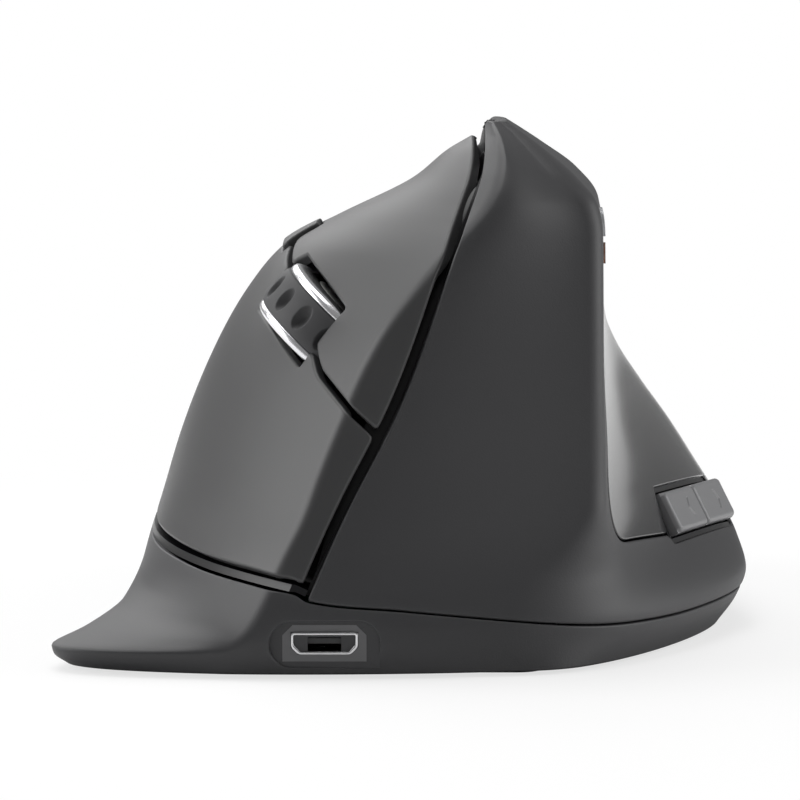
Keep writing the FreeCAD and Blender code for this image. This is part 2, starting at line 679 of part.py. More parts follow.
def lens_plug(centre, extent, margin):
    """Pill-shaped plug through the thumb side of the crest."""
    length, height = extent[0] + 2 * margin, extent[1] + 2 * margin
    flat = length - height
    plug = Part.makeBox(30, max(flat, 0.01), height, Vector(14, centre[0] - flat / 2, centre[1] - height / 2))
    for side in (-1, 1):
        end = Part.makeCylinder(height / 2, 30, Vector(14, centre[0] + side * flat / 2, centre[1]),
                                Vector(1, 0, 0))
        plug = plug.fuse(end)
    return plug


def make_finger_key(side):
    """Finger key: moulded plate with its switch post and its hinge tab."""
    zone = finger_zone(-size("slot_gap") / 2, size("sill_height") + size("key_gap"))
    tab_low = size("key_length") - 4
    thick = outer.cut(tab_form).common(zone).cut(split_half(-side))
    tab_x = sorted((side * 3.2, side * (9.0 if side > 0 else 15.0)))
    tab_zone = block(finger, (tab_x[0], tab_low, -ALL), (tab_x[1], ALL, ALL))
    shape = thick.cut(inner.cut(tab_zone))
    shape = shape.cut(rear_of_keys(size("hinge_tab")))
    shape = shape.cut(rear_of_keys(0).cut(flange_form))
    shape = shape.cut(rear_of_keys(0).cut(tab_zone))
    shape = shape.cut(wheel_opening()).cut(wheel_sweep()).cut(dpi_prism(0.3))
    post_x = index_switch_x if side > 0 else middle_switch_x
    post_low = switch_top + size("plunger_height") + size("press_gap")
    post = rod(finger, (post_x, finger_switch_y), 1.7, post_low, ALL).common(outer)
    shape = shape.fuse(post)
    return shape.removeSplitter()


def split_half(side):
    """Half space on one side of the split between the finger keys, with half its gap."""
    line = ((-2.8, -60), (-2.8, -14), (-1.2, -8), (2.3, 12), (4.3, 20), (6.5, 34), (8, 60))
    half = size("split_gap") / 2
    edge = [(x - side * half, y) for x, y in line]
    far = side * ALL
    return prism_in(finger, edge + [(far, 60), (far, -60)], -ALL, ALL)


def wheel_sweep():
    """Room that the turning wheel needs."""
    half = size("tyre_width") / 2 + size("rim_width") + size("wheel_clearance")
    sweep = Part.makeCylinder(size("wheel_radius") + size("wheel_clearance"), 2 * half, Vector(-half, 0, 0),
                              Vector(1, 0, 0))
    sweep.Placement = finger
    return sweep


def wheel_opening():
    """Opening for the wheel through the finger keys."""
    half = size("tyre_width") / 2 + size("rim_width") + size("wheel_clearance")
    front = wheel_chord + 0.6
    rear = wheel_chord + 1.2
    corners = ((-half, -front), (half, -front), (half, rear - 1.5), (half - 1.5, rear), (-half, rear))
    return prism_in(finger, corners, -2, ALL)


def dpi_prism(margin):
    """Four-cornered outline of the resolution button."""
    half_x, half_y, skew = 2.3 + margin, 3.4 + margin, 0.7
    corners = ((dpi_x - half_x, dpi_y - half_y), (dpi_x + half_x, dpi_y - half_y + skew),
               (dpi_x + half_x, dpi_y + half_y), (dpi_x - half_x, dpi_y + half_y - skew))
    return prism_in(finger, corners, -4, ALL)


def make_dpi_button():
    """Resolution button with its stem down to its tactile switch."""
    cap = outer.cut(inner).common(dpi_prism(0))
    cap.translate(finger.Rotation.multVec(Vector(0, 0, 0.5)))
    low = -size("board_drop") + size("tact_height") + size("plunger_height") + size("press_gap")
    top = hit(finger.multVec(Vector(dpi_x, dpi_y, 0)), finger.Rotation.multVec(Vector(0, 0, 1)), outer)
    stem = rod(finger, (dpi_x, dpi_y), 1.3, low, top - 0.6)
    return cap.fuse(stem).removeSplitter()


def make_key_carrier():
    """Black carrier below the finger keys: floor of the slots, sill and windows."""
    wide = finger_zone(size("carrier_flange"), seam_gap)
    shape = flush.cut(carrier_core).common(wide)
    shape = shape.cut(rear_of_keys(0))
    keys = finger_zone(size("slot_gap") / 2, size("sill_height"))
    shape = shape.cut(keys.cut(carrier_form))
    beyond = wide.cut(finger_zone(size("slot_gap") / 2, -ALL))
    shape = shape.cut(beyond.cut(flange_form))
    half = size("tyre_width") / 2 + size("rim_width") + size("wheel_clearance") + size("cheek") + 1.2
    shape = shape.cut(block(finger, (-half - 4.6, -wheel_chord - 2, -2), (half, wheel_chord + 2.5, ALL)))
    for x in (index_switch_x, middle_switch_x):
        low = (x - size("switch_width") / 2 - 0.6, finger_switch_y - size("switch_length") / 2 - 0.6, switch_top - 3)
        high = (x + size("switch_width") / 2 + 0.6, finger_switch_y + size("switch_length") / 2 + 0.6, ALL)
        shape = shape.cut(block(finger, low, high))
    shape = shape.cut(wheel_sweep()).cut(rod(finger, (dpi_x, dpi_y), 1.3 + fit_gap, -2, ALL))
    biggest = max(shape.Solids, key=lambda solid: solid.Volume)
    for x, y in carrier_posts:
        post = rod(finger, (x, y), 1.8, -size("board_drop"), ALL).common(carrier_form)
        biggest = biggest.fuse(post).cut(rod(finger, (x, y), 1.0, -size("board_drop") - 1, screw_end + 0.3))
    return biggest.removeSplitter()


def make_thumb_panel():
    """Gloss panel of the thumb rest with the opening for its keys."""
    shape = outer.cut(inner).common(panel_prism(-seam_gap / 2))
    shape = shape.cut(thumb_pocket(fit_gap, -12, ALL))
    return shape.removeSplitter()


def thumb_pocket(margin, low, high):
    """Opening of the thumb keys, grown by a margin."""
    half_x = size("thumb_key_length") + size("bezel_wall") + 0.7 + margin
    half_y = size("thumb_key_height") / 2 + size("bezel_wall") + 0.25 + margin
    return block(thumb, (-half_x, -half_y, low), (half_x, half_y, high))


def make_thumb_bezel():
    """Black pocket that guides the thumb keys and carries their board."""
    inner_margin = -size("bezel_wall")
    floor_top = -thumb_floor
    shape = thumb_pocket(0, floor_top - 1, ALL).common(flush)
    shape = shape.cut(thumb_pocket(inner_margin, floor_top, ALL))
    for side in (-1, 1):
        x = side * thumb_key_x
        shape = shape.cut(block(thumb, (x - 1.6, -1.6, -ALL), (x + 1.6, 1.6, 0)))
        leg = side * (size("thumb_key_length") - 0.5)
        low = (leg - 1, -1.5, -thumb_board_drop)
        shape = shape.fuse(block(thumb, low, (leg + 1, 1.5, floor_top - 0.5)))
    return shape.removeSplitter()


# Wheel: pieces that turn about the X axis of the finger frame

def make_wheel_tyre():
    """Rubber tyre with a row of dimples across its tread."""
    body = new_body("wheel_tyre", finger)
    profile = new_sketch(body)
    sketch_rectangle(profile, "tyre_width", "tyre_depth", "-tyre_width / 2", "wheel_radius - tyre_depth")
    ring = add_revolution(body, profile)
    edges = [name for name, edge in named_edges(ring) if edge_radius(edge) > size("wheel_radius") - 0.01]
    add_dressing(body, "Fillet", ring, edges, 0.5)
    cutter = new_sketch(body, "YZ_Plane")
    sketch_circle(cutter, "dimple_radius", "wheel_radius + dimple_radius - dimple_depth", 0)
    dimple = add_pocket(body, cutter, "tyre_width - 1.2", both_sides=True)
    pattern = body.newObject("PartDesign::PolarPattern", "PolarPattern")
    pattern.Originals = [dimple]
    pattern.Axis = (cutter, ["N_Axis"])
    pattern.Angle = 360
    pattern.Occurrences = 18
    body.Tip = pattern


def make_wheel_rims():
    """Two bright rings beside the tyre."""
    body = new_body("wheel_rims", finger)
    body.AllowCompound = True
    profile = new_sketch(body)
    for left in ("tyre_width / 2", "-tyre_width / 2 - rim_width"):
        sketch_rectangle(profile, "rim_width", "rim_depth", left, "wheel_radius - rim_drop - rim_depth")
    rings = add_revolution(body, profile)
    top = size("wheel_radius") - size("rim_drop") - 0.01
    edges = [name for name, edge in named_edges(rings) if edge_radius(edge) > top]
    add_dressing(body, "Chamfer", rings, edges, 0.3)


def make_wheel_hub():
    """Hub under the tyre with a flange on each side that carries its rim."""
    body = new_body("wheel_hub", finger)
    core = new_sketch(body)
    sketch_rectangle(core, "tyre_width", "wheel_radius - tyre_depth - axle_radius", "-tyre_width / 2", "axle_radius")
    add_revolution(body, core)
    flange = new_sketch(body)
    sketch_rectangle(flange, "tyre_width + 2 * rim_width", "wheel_radius - rim_drop - rim_depth - axle_radius",
                     "-tyre_width / 2 - rim_width", "axle_radius")
    add_revolution(body, flange)
    windows = new_sketch(body, "YZ_Plane")
    for i in range(6):
        angle = math.radians(60 * i)
        sketch_circle(windows, 1.2, 4.0 * math.cos(angle), 4.0 * math.sin(angle))
    add_pocket(body, windows, "tyre_width + 2 * rim_width + 1", both_sides=True)


def make_wheel_axle():
    """Steel axle through hub, cradle and encoder."""
    body = new_body("wheel_axle", at(finger, axle_middle, 0, 0))
    circle = new_sketch(body, "YZ_Plane")
    sketch_circle(circle, "axle_radius")
    add_pad(body, circle, axle_length, both_sides=True)


def make_wheel_cradle():
    """Swinging cradle with two cheeks, open bearings, a rear pivot and a lug over its switch."""
    body = new_body("wheel_cradle", finger)
    floor = -(size("wheel_radius") + 0.9 + 1.8)
    back = size("pivot_back") + 2.1
    side_view = new_sketch(body, "YZ_Plane")
    sketch_outline(side_view, ((-4.5, 1.8), (4.5, 1.8), (10.5, -1.6), (back, -1.6), (back, -5.6), (12.4, -5.8),
                               (9, floor), (-9, floor), (-11.6, -9)))
    add_pad(body, side_view, cradle_width, both_sides=True)
    well = new_sketch(body, "YZ_Plane")
    sketch_circle(well, "wheel_radius + 0.9")
    add_pocket(body, well, "tyre_width + 2 * rim_width + 2 * wheel_clearance", both_sides=True)
    bearing = new_sketch(body, "YZ_Plane")
    sketch_circle(bearing, "axle_radius + 0.05")
    sketch_circle(bearing, "pin_radius + 0.05", "pivot_back", "-pivot_drop")
    add_pocket(body, bearing, cradle_width + 1, both_sides=True)
    mouth = new_sketch(body, "YZ_Plane")
    sketch_rectangle(mouth, "2 * axle_radius - 0.2", 4, "0.1 - axle_radius", 0)
    add_pocket(body, mouth, cradle_width + 1, both_sides=True)
    lug = new_sketch(body, lift=lug_low)
    sketch_rectangle(lug, wheel_switch_x + 2.5 - cradle_width / 2 + 0.7, 5, cradle_width / 2 - 0.7,
                     wheel_switch_y - 2.5)
    add_pad(body, lug, 1.4)


def make_encoder():
    """Rotary encoder on the cradle's lower cheek, round the axle's end."""
    low_x = -cradle_width / 2 - 0.05 - encoder_width
    body = new_body("encoder", at(finger, low_x, 0, 0))
    face = new_sketch(body, "YZ_Plane")
    sketch_rectangle(face, 9, 7.6, -4.5, -5.8)
    case = add_pad(body, face, encoder_width)
    add_dressing(body, "Chamfer", case, edges_along(case, Vector(1, 0, 0)), 0.8)
    bore = new_sketch(body, "YZ_Plane")
    sketch_circle(bore, "axle_radius + 0.05")
    add_pocket(body, bore, encoder_width, reverse=True)


def make_cradle_pin():
    """Steel pin of the cradle's pivot."""
    body = new_body("cradle_pin", at(finger, 0, size("pivot_back"), -size("pivot_drop")))
    circle = new_sketch(body, "YZ_Plane")
    sketch_circle(circle, "pin_radius")
    add_pad(body, circle, cradle_width + 5, both_sides=True)


def make_wheel_stand():
    """Bracket on the key board with two ears that hold the pivot pin."""
    body = new_body("wheel_stand", at(finger, 0, 0, -size("board_drop")))
    plate = new_sketch(body)
    sketch_rectangle(plate, cradle_width + 5, 4.6, -(cradle_width + 5) / 2, "pivot_back - 2.3")
    add_pad(body, plate, 1)
    for left in (cradle_width / 2 + 0.3, -cradle_width / 2 - 1.7):
        ear = new_sketch(body)
        sketch_rectangle(ear, 1.4, 4, left, "pivot_back - 2")
        add_pad(body, ear, "board_drop - pivot_drop + 2")
    bore = new_sketch(body, "YZ_Plane")
    sketch_circle(bore, "pin_radius", "pivot_back", "board_drop - pivot_drop")
    add_pocket(body, bore, cradle_width + 6, both_sides=True)


# Boards and switches

def make_key_board():
    """Circuit board below the finger keys, notched for the wheel cradle."""
    body = new_body("key_board", at(finger, 0, 0, -size("board_drop") - size("board")))
    outline = new_sketch(body)
    notch_left = -cradle_width / 2 - encoder_width - 0.6
    notch_right = cradle_width / 2 + 0.5
    sketch_outline(outline, ((-18.8, -10.5), (notch_left, -10.5), (notch_left, 12), (notch_right, 12),
                             (notch_right, -10.5), (16.8, -10.5), (18.5, -9), (18.5, 17), (13, 24.2),
                             (-18.8, 24.2)))
    add_pad(body, outline, "board")
    holes = new_sketch(body)
    for x, y in carrier_posts:
        sketch_circle(holes, 1.1, x, y)
    add_pocket(body, holes, "board", reverse=True)


def make_snap_switch(name, x):
    """Snap-action switch of a finger key with its plunger."""
    body = new_body(name, at(finger, x, finger_switch_y, -size("board_drop")))
    base = new_sketch(body)
    sketch_rectangle(base, "switch_width", "switch_length", "-switch_width / 2", "-switch_length / 2")
    case = add_pad(body, base, "switch_height")
    add_dressing(body, "Chamfer", case, edges_along(case, Vector(0, 1, 0), low=1), 0.5)
    plunger = new_sketch(body, lift="switch_height")
    sketch_rectangle(plunger, 3, 1.4, -1.5, -0.7)
    add_pad(body, plunger, "plunger_height")


def make_tact_switch(name, placement):
    """Tactile switch with its round plunger."""
    body = new_body(name, placement)
    base = new_sketch(body)
    sketch_rectangle(base, "tact_size", "tact_size", "-tact_size / 2", "-tact_size / 2")
    add_pad(body, base, "tact_height")
    plunger = new_sketch(body, lift="tact_height")
    sketch_circle(plunger, 1.7)
    add_pad(body, plunger, "plunger_height")


def make_thumb_board():
    """Small board behind the thumb keys."""
    body = new_body("thumb_board", at(thumb, 0, 0, -thumb_board_drop - size("board")))
    outline = new_sketch(body)
    sketch_rectangle(outline, "2 * thumb_key_length + 1.4", 8, "-thumb_key_length - 0.7", -4)
    add_pad(body, outline, "board")


def make_thumb_key(name, side):
    """Thumb key with bevelled edges and a stem through the floor of its pocket."""
    low = -(thumb_floor - size("thumb_travel") - 0.3)
    body = new_body(name, at(thumb, side * thumb_key_x, 0, 0))
    face = new_sketch(body, lift=low)
    sketch_rectangle(face, "thumb_key_length", "thumb_key_height", "-thumb_key_length / 2", "-thumb_key_height / 2")
    cap = add_pad(body, face, f"thumb_key_rise - ({low})")
    rim = edges_along(cap, Vector(1, 0, 0), low=0) + edges_along(cap, Vector(0, 1, 0), low=0)
    add_dressing(body, "Chamfer", cap, rim, 0.6)
    stem_low = -thumb_board_drop + size("tact_height") + size("plunger_height") + size("press_gap")
    stem = new_sketch(body, lift=low)
    sketch_rectangle(stem, 2.6, 2.6, -1.3, -1.3)
    add_pad(body, stem, low - stem_low, reverse=True)


def make_main_board():
    """Main circuit board with a tongue over the charging port."""
    body = new_body("main_board", Placement(Vector(0, 0, main_board_z), Rotation()))
    outline = new_sketch(body)
    tongue = front_wall_y + wall + 1.0
    sketch_outline(outline, ((port_x - 4.8, tongue), (port_x + 4.8, tongue), (port_x + 4.8, tongue + 4.5),
                             (12, tongue + 4.5), (12, 13), (-14.6, 13), (-14.6, tongue + 4.5),
                             (port_x - 4.8, tongue + 4.5)))
    add_pad(body, outline, "board")
    holes = new_sketch(body)
    for x, y in board_posts:
        sketch_circle(holes, 1.0, x, y)
    add_pocket(body, holes, "board", reverse=True)


def make_block(name, placement, width, depth, height, edge=None):
    """Plain block centred on its placement, with chamfered upright edges."""
    body = new_body(name, placement)
    base = new_sketch(body)
    sketch_rectangle(base, width, depth, f"-({width}) / 2", f"-({depth}) / 2")
    case = add_pad(body, base, height)
    if edge:
        add_dressing(body, "Chamfer", case, edges_along(case, Vector(0, 0, 1)), edge)
    return body


# Charging port

def make_usb_port():
    """Metal shell of the charging port."""
    port_y = front_wall_y + size("recess_depth") - 0.3
    return shell_of_port(port_y, port_y + size("port_depth"))


def shell_of_port(low_y, high_y):
    """Port shell with its closed rear end."""
    body = six_sided(size("port_width"), size("port_height"), low_y, high_y)
    inside = six_sided(size("port_width") - 2 * size("port_wall"), size("port_height") - 2 * size("port_wall"),
                       low_y - 1, high_y - size("port_wall"))
    return body.cut(inside)


def six_sided(width, height, low_y, high_y):
    """Prism of the port's outline, wide above and narrow below."""
    cut = 0.32 * height
    half = width / 2
    outline = ((-half + cut, -height / 2), (half - cut, -height / 2), (half, -height / 2 + cut),
               (half, height / 2), (-half, height / 2), (-half, -height / 2 + cut))
    points = [Vector(port_x + x, low_y, port_z + z) for x, z in outline]
    return Part.Face(Part.makePolygon(points + [points[0]])).extrude(Vector(0, high_y - low_y, 0))


def make_usb_tongue():
    """Contact tongue inside the port."""
    port_y = front_wall_y + size("recess_depth")
    corner = Vector(port_x - 1.9, port_y + 0.6, port_z - 0.1)
    return Part.makeBox(3.8, size("port_depth") - 0.9 - size("port_wall"), 0.6, corner)


def make_usb_bezel():
    """Light guide round the port, seated in the front wall."""
    low_y = front_wall_y + size("recess_depth")
    ring = port_prism(bezel_width, bezel_height, low_y, low_y + size("bezel_depth") - 0.02)
    return ring.cut(six_sided(size("port_width") + fit_gap, size("port_height") + fit_gap, low_y - 1, low_y + 3))


# Underside

def make_sensor_lens():
    """Clear lens plate on the floor with its barrel in the sensor window."""
    plate = rounded_pad((sensor_x, sensor_y), (12.0, 9.5), foot_height + wall, foot_height + wall + 0.8, 1.0)
    barrel = rounded_pad((sensor_x, sensor_y), (8.6, 6.1), foot_height + 0.4, foot_height + wall, 1.3)
    dome = Part.makeSphere(1.3, Vector(sensor_x, sensor_y, foot_height + wall - 0.4))
    return plate.fuse(barrel).fuse(dome).removeSplitter()


def make_power_slider():
    """Slide knob of the power switch with a flange over its slot."""
    knob = rounded_pad((power_x, power_y), (slider_length, 3.2), foot_height + 0.2, foot_height + wall + 0.1, 0.8)
    flange = rounded_pad((power_x, power_y), (9.6, 4.8), foot_height + wall + 0.1, foot_height + wall + 0.5, 0.8)
    for step in (-0.8, 0, 0.8):
        groove = Part.makeBox(0.35, 4, 0.3, Vector(power_x + step - 0.17, power_y - 2, foot_height + 0.1))
        knob = knob.cut(groove)
    return knob.fuse(flange).removeSplitter()


def make_screws(places, radius, head, low, head_high, top):
    """Group of equal screws pointing up, with a cross recess."""
    screws = []
    for x, y in places:
        head_part = Part.makeCylinder(head, head_high, Vector(x, y, low))
        shank = Part.makeCylinder(radius, top - low - head_high, Vector(x, y, low + head_high))
        screw = head_part.fuse(shank)
        for turn in (0, 90):
            slot = Part.makeBox(head * 1.1, 0.5, 0.5, Vector(x - head * 0.55, y - 0.25, low))
            slot.rotate(Vector(x, y, low), Vector(0, 0, 1), turn)
            screw = screw.cut(slot)
        screws.append(screw)
    return Part.makeCompound(screws)


def make_lens(centre, extent):
    """Light guide window in the thumb side of the crest, just proud of it."""
    plug = outer.cut(inner).common(lens_plug(centre, extent, 0))
    plug.translate(Vector(0.25, 0, 0))
    return plug


add_shape("base_shell", make_base_shell())
add_shape("main_shell", make_main_shell())
add_shape("key_carrier", make_key_carrier())
add_shape("index_key", make_finger_key(1))
add_shape("middle_key", make_finger_key(-1))
add_shape("dpi_button", make_dpi_button())
add_shape("thumb_panel", make_thumb_panel())
add_shape("thumb_bezel", make_thumb_bezel())
add_shape("indicator_lens", make_lens(*lens_places[0]))
add_shape("charge_lens", make_lens(*lens_places[1]))
make_thumb_key("forward_key", -1)
make_thumb_key("back_key", 1)
make_wheel_tyre()
make_wheel_rims()
make_wheel_hub()
make_wheel_axle()
make_wheel_cradle()
make_encoder()
make_cradle_pin()
make_wheel_stand()
make_key_board()
make_snap_switch("index_switch", index_switch_x)
make_snap_switch("middle_switch", middle_switch_x)
make_tact_switch("wheel_switch", at(finger, wheel_switch_x, wheel_switch_y, -size("board_drop")))
make_tact_switch("dpi_switch", at(finger, dpi_x, dpi_y, -size("board_drop")))
make_tact_switch("forward_switch", at(thumb, -thumb_key_x, 0, -thumb_board_drop))
make_tact_switch("back_switch", at(thumb, thumb_key_x, 0, -thumb_board_drop))
make_thumb_board()
make_main_board()
make_block("main_chip", at(GLOBAL, 0, -34, main_board_z + size("board")), 7, 7, 1)
make_block("optical_sensor", at(GLOBAL, sensor_x, sensor_y, foot_height + wall + 1.0), 9, 8,
           main_board_z - foot_height - wall - 1.0, 0.5)
make_block("sensor_lamp", at(GLOBAL, sensor_x, sensor_y + 6.6, main_board_z - 1.4), 3.2, 2, 1.4)
make_block("power_switch", at(GLOBAL, power_x, power_y, foot_height + wall + 0.6), 9, 3.8,
           main_board_z - foot_height - wall - 0.6)
make_block("battery", at(GLOBAL, cell_x, cell_y, foot_height + wall + fit_gap), "battery_width", "battery_length",
           "battery_height", 1.2)
add_shape("usb_port", make_usb_port())
add_shape("usb_tongue", make_usb_tongue())
add_shape("usb_bezel", make_usb_bezel())
add_shape("sensor_lens", make_sensor_lens())
add_shape("power_slider", make_power_slider())
add_shape("glide_feet", Part.makeCompound([foot_pad(centre, extent, 0, foot_height + size("foot_inset"), 0)
                                           for centre, extent in foot_places]))
add_shape("shell_screws", make_screws(boss_places, size("screw_radius") - 0.05, size("head_radius"),
                                      foot_height + 0.3, head_top - foot_height - 0.3, boss_split + 7))
carrier_screws = make_screws(carrier_posts, 0.95, 1.7, -size("board_drop") - size("board") - 0.9, 0.9, screw_end)
carrier_screws.Placement = finger
post_screws = make_screws([(x, -y) for x, y in board_posts], 0.85, 1.6, -0.8, 0.8, size("board") + 2.4)
post_screws.Placement = Placement(Vector(0, 0, main_board_z + size("board")), Rotation(Vector(1, 0, 0), 180))
add_shape("board_screws", Part.makeCompound(carrier_screws.Solids + post_screws.Solids))

doc.recompute()
failed = [piece.Name for piece in doc.Objects if "Invalid" in piece.State or "Error" in piece.State]
failed += [piece.Label for piece in nodes if piece.Shape.isNull() or not piece.Shape.isValid()]
if failed:
    raise RuntimeError(f"failed pieces: {failed}")
os.makedirs("parts", exist_ok=True)
for piece in nodes:
    piece.Shape.exportStep(f"parts/{piece.Label}.step")
    print(piece.Label, len(piece.Shape.Solids), round(piece.Shape.Volume, 1))
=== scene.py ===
"""Looks of a right-hand vertical mouse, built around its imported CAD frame.

The outer form is one closed surface of two parameters. Every moulding that shows is cut from
it by distance fields, gets a rounded edge and a wall, and rides on its CAD body.
"""

import logging
import math
from collections.abc import Callable, Sequence
from dataclasses import dataclass, field
from enum import Enum

import bpy
import numpy as np
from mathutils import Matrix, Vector


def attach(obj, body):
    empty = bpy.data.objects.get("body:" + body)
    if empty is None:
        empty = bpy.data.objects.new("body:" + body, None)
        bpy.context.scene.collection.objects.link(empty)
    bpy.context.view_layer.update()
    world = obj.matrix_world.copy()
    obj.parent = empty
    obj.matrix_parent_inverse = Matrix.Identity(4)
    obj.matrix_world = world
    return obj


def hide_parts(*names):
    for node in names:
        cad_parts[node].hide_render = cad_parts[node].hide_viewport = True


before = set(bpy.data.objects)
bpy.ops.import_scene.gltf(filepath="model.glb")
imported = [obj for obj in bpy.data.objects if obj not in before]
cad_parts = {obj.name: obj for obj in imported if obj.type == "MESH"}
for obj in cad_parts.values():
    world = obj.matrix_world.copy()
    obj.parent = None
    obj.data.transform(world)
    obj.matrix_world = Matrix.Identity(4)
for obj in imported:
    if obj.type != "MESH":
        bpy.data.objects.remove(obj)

Array = np.ndarray
LOG = logging.getLogger("vertical_mouse")
MM = 0.001
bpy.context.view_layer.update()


def unit(vectors: Array) -> Array:
    """Vectors scaled to length one; zero vectors stay zero."""
    length = np.linalg.norm(vectors, axis=-1, keepdims=True)
    return vectors / np.maximum(length, 1e-12)


# Curves

def monotone_cubic(knots: Sequence[tuple[float, float]], at: Array) -> Array:
    """Monotone cubic through knots.

    Args:
        knots: (parameter, value) pairs in rising order.
        at: parameters to work out, held within the knots.

    Returns:
        The Hermite blend of the two knots round each parameter, whose tangents are the weighted
        harmonic means of the neighbouring slopes, so that it never overshoots.
    """
    x, y = np.array(knots, float).T
    step = np.diff(x)
    slope = np.diff(y) / step
    tangent = np.concatenate([slope[:1], np.zeros(len(x) - 2), slope[-1:]])
    near, far = 2 * step[1:] + step[:-1], step[1:] + 2 * step[:-1]
    same = slope[:-1] * slope[1:] > 0
    safe = np.where(slope == 0, 1, slope)
    tangent[1:-1] = np.where(same, (near + far) / (near / safe[:-1] + far / safe[1:]), 0)
    at = np.clip(at, x[0], x[-1])
    i = np.clip(np.searchsorted(x, at, side="right") - 1, 0, len(x) - 2)
    t = (at - x[i]) / step[i]
    value = (2 * t**3 - 3 * t**2 + 1) * y[i] + (t**3 - 2 * t**2 + t) * step[i] * tangent[i]
    return value + (3 * t**2 - 2 * t**3) * y[i + 1] + (t**3 - t**2) * step[i] * tangent[i + 1]


def spline(points: Sequence[tuple[float, ...]], count: int, closed: bool = False) -> Array:
    """Smooth line through points.

    Args:
        points: the points, in order.
        count: how many points the line gets.
        closed: whether it runs back to its first point.

    Returns:
        The cubic spline by chord length, with free ends or periodic: its second derivatives
        solve the usual banded system, and each span is the cubic that they give.
    """
    p = np.array(points, float)
    if closed:
        p = np.vstack([p, p[:1]])
    t = np.concatenate([[0], np.cumsum(np.linalg.norm(np.diff(p, axis=0), axis=1))])
    h = np.diff(t)
    n = len(t)
    slope = np.diff(p, axis=0) / h[:, None]
    matrix, right = np.zeros((n, n)), np.zeros((n, p.shape[1]))
    inner = np.arange(1, n - 1)
    matrix[inner, inner - 1], matrix[inner, inner + 1] = h[:-1], h[1:]
    matrix[inner, inner] = 2 * (h[:-1] + h[1:])
    right[inner] = 6 * np.diff(slope, axis=0)
    if closed:
        matrix[0, [0, -1]] = 1, -1
        matrix[-1, [0, 1, -2, -1]] = 2 * h[0], h[0], h[-1], 2 * h[-1]
        right[-1] = 6 * (slope[0] - slope[-1])
    else:
        matrix[0, 0] = matrix[-1, -1] = 1
    bend = np.linalg.solve(matrix, right)
    at = np.linspace(t[0], t[-1], count, endpoint=not closed)
    i = np.clip(np.searchsorted(t, at, side="right") - 1, 0, n - 2)
    a, b = ((t[i + 1] - at) / h[i])[:, None], ((at - t[i]) / h[i])[:, None]
    hh = h[i][:, None] ** 2 / 6
    return a * p[i] + b * p[i + 1] + ((a**3 - a) * bend[i] + (b**3 - b) * bend[i + 1]) * hh


def line_distance(points: Array, line: Array, closed: bool = False) -> Array:
    """Signed distance of plane points from a line of many short runs.

    Args:
        points: the points, one row each.
        line: the line's points.
        closed: whether its last point joins the first.

    Returns:
        The least distance to any run, positive on the right of the nearest run's way.
    """
    start = line if closed else line[:-1]
    run = (np.roll(line, -1, axis=0) if closed else line[1:]) - start
    best = np.full(len(points), 1e9)
    signed = np.zeros(len(points))
    for a, d in zip(start, run):
        rel = points - a
        share = np.clip(rel @ d / max(d @ d, 1e-12), 0, 1)
        gap = rel - share[:, None] * d
        far = np.hypot(gap[:, 0], gap[:, 1])
        side = np.sign(rel[:, 0] * d[1] - rel[:, 1] * d[0])
        nearer = far < best
        best = np.where(nearer, far, best)
        signed = np.where(nearer, far * side, signed)
    return signed


def polygon_distance(points: Array, outline: Sequence[tuple[float, float]]) -> Array:
    """Distance inside a convex polygon with its corners in left-hand turns: the least of its edges'."""
    corners = np.array(outline, float)
    run = np.roll(corners, -1, axis=0) - corners
    normal = np.stack([-run[:, 1], run[:, 0]], axis=1) / np.linalg.norm(run, axis=1)[:, None]
    return np.min(np.einsum("nkd,kd->nk", points[:, None, :] - corners[None], normal), axis=1)


def rounded_box_distance(points: Array, half: tuple[float, float], radius: float) -> Array:
    """Distance inside a rectangle with rounded corners, centred on the origin."""
    q = np.abs(points) - np.array(half) + radius
    outside = np.hypot(np.maximum(q[:, 0], 0), np.maximum(q[:, 1], 0))
    return radius - outside - np.minimum(np.maximum(q[:, 0], q[:, 1]), 0)


@dataclass(frozen=True)
class Place:
    """A tilted frame: an origin in millimetres and three unit axes."""

    origin: tuple[float, float, float]
    x_way: tuple[float, float, float]
    z_way: tuple[float, float, float]

    def axes(self) -> Array:
        """The three axes as columns: Z as given, X square to it."""
        z = unit(np.array(self.z_way))
        y = unit(np.cross(z, np.array(self.x_way)))
        return np.stack([np.cross(y, z), y, z], axis=1)

    def local(self, points: Array) -> Array:
        """Points of the mouse in this frame."""
        return (points - np.array(self.origin)) @ self.axes()

    def world(self, points: Array) -> Array:
        """Points of this frame in the mouse."""
        return points @ self.axes().T + np.array(self.origin)


FINGER = Place((-7.3504, -33.9268, 35.4256), (0.66687, -0.0409, 0.74405), (-0.72428, -0.27039, 0.63428))
THUMB = Place((34.2070, -14.035, 14.3), (0.31351, 0.94903, -0.03247), (0.84184, -0.26195, 0.47191))


# Outer form

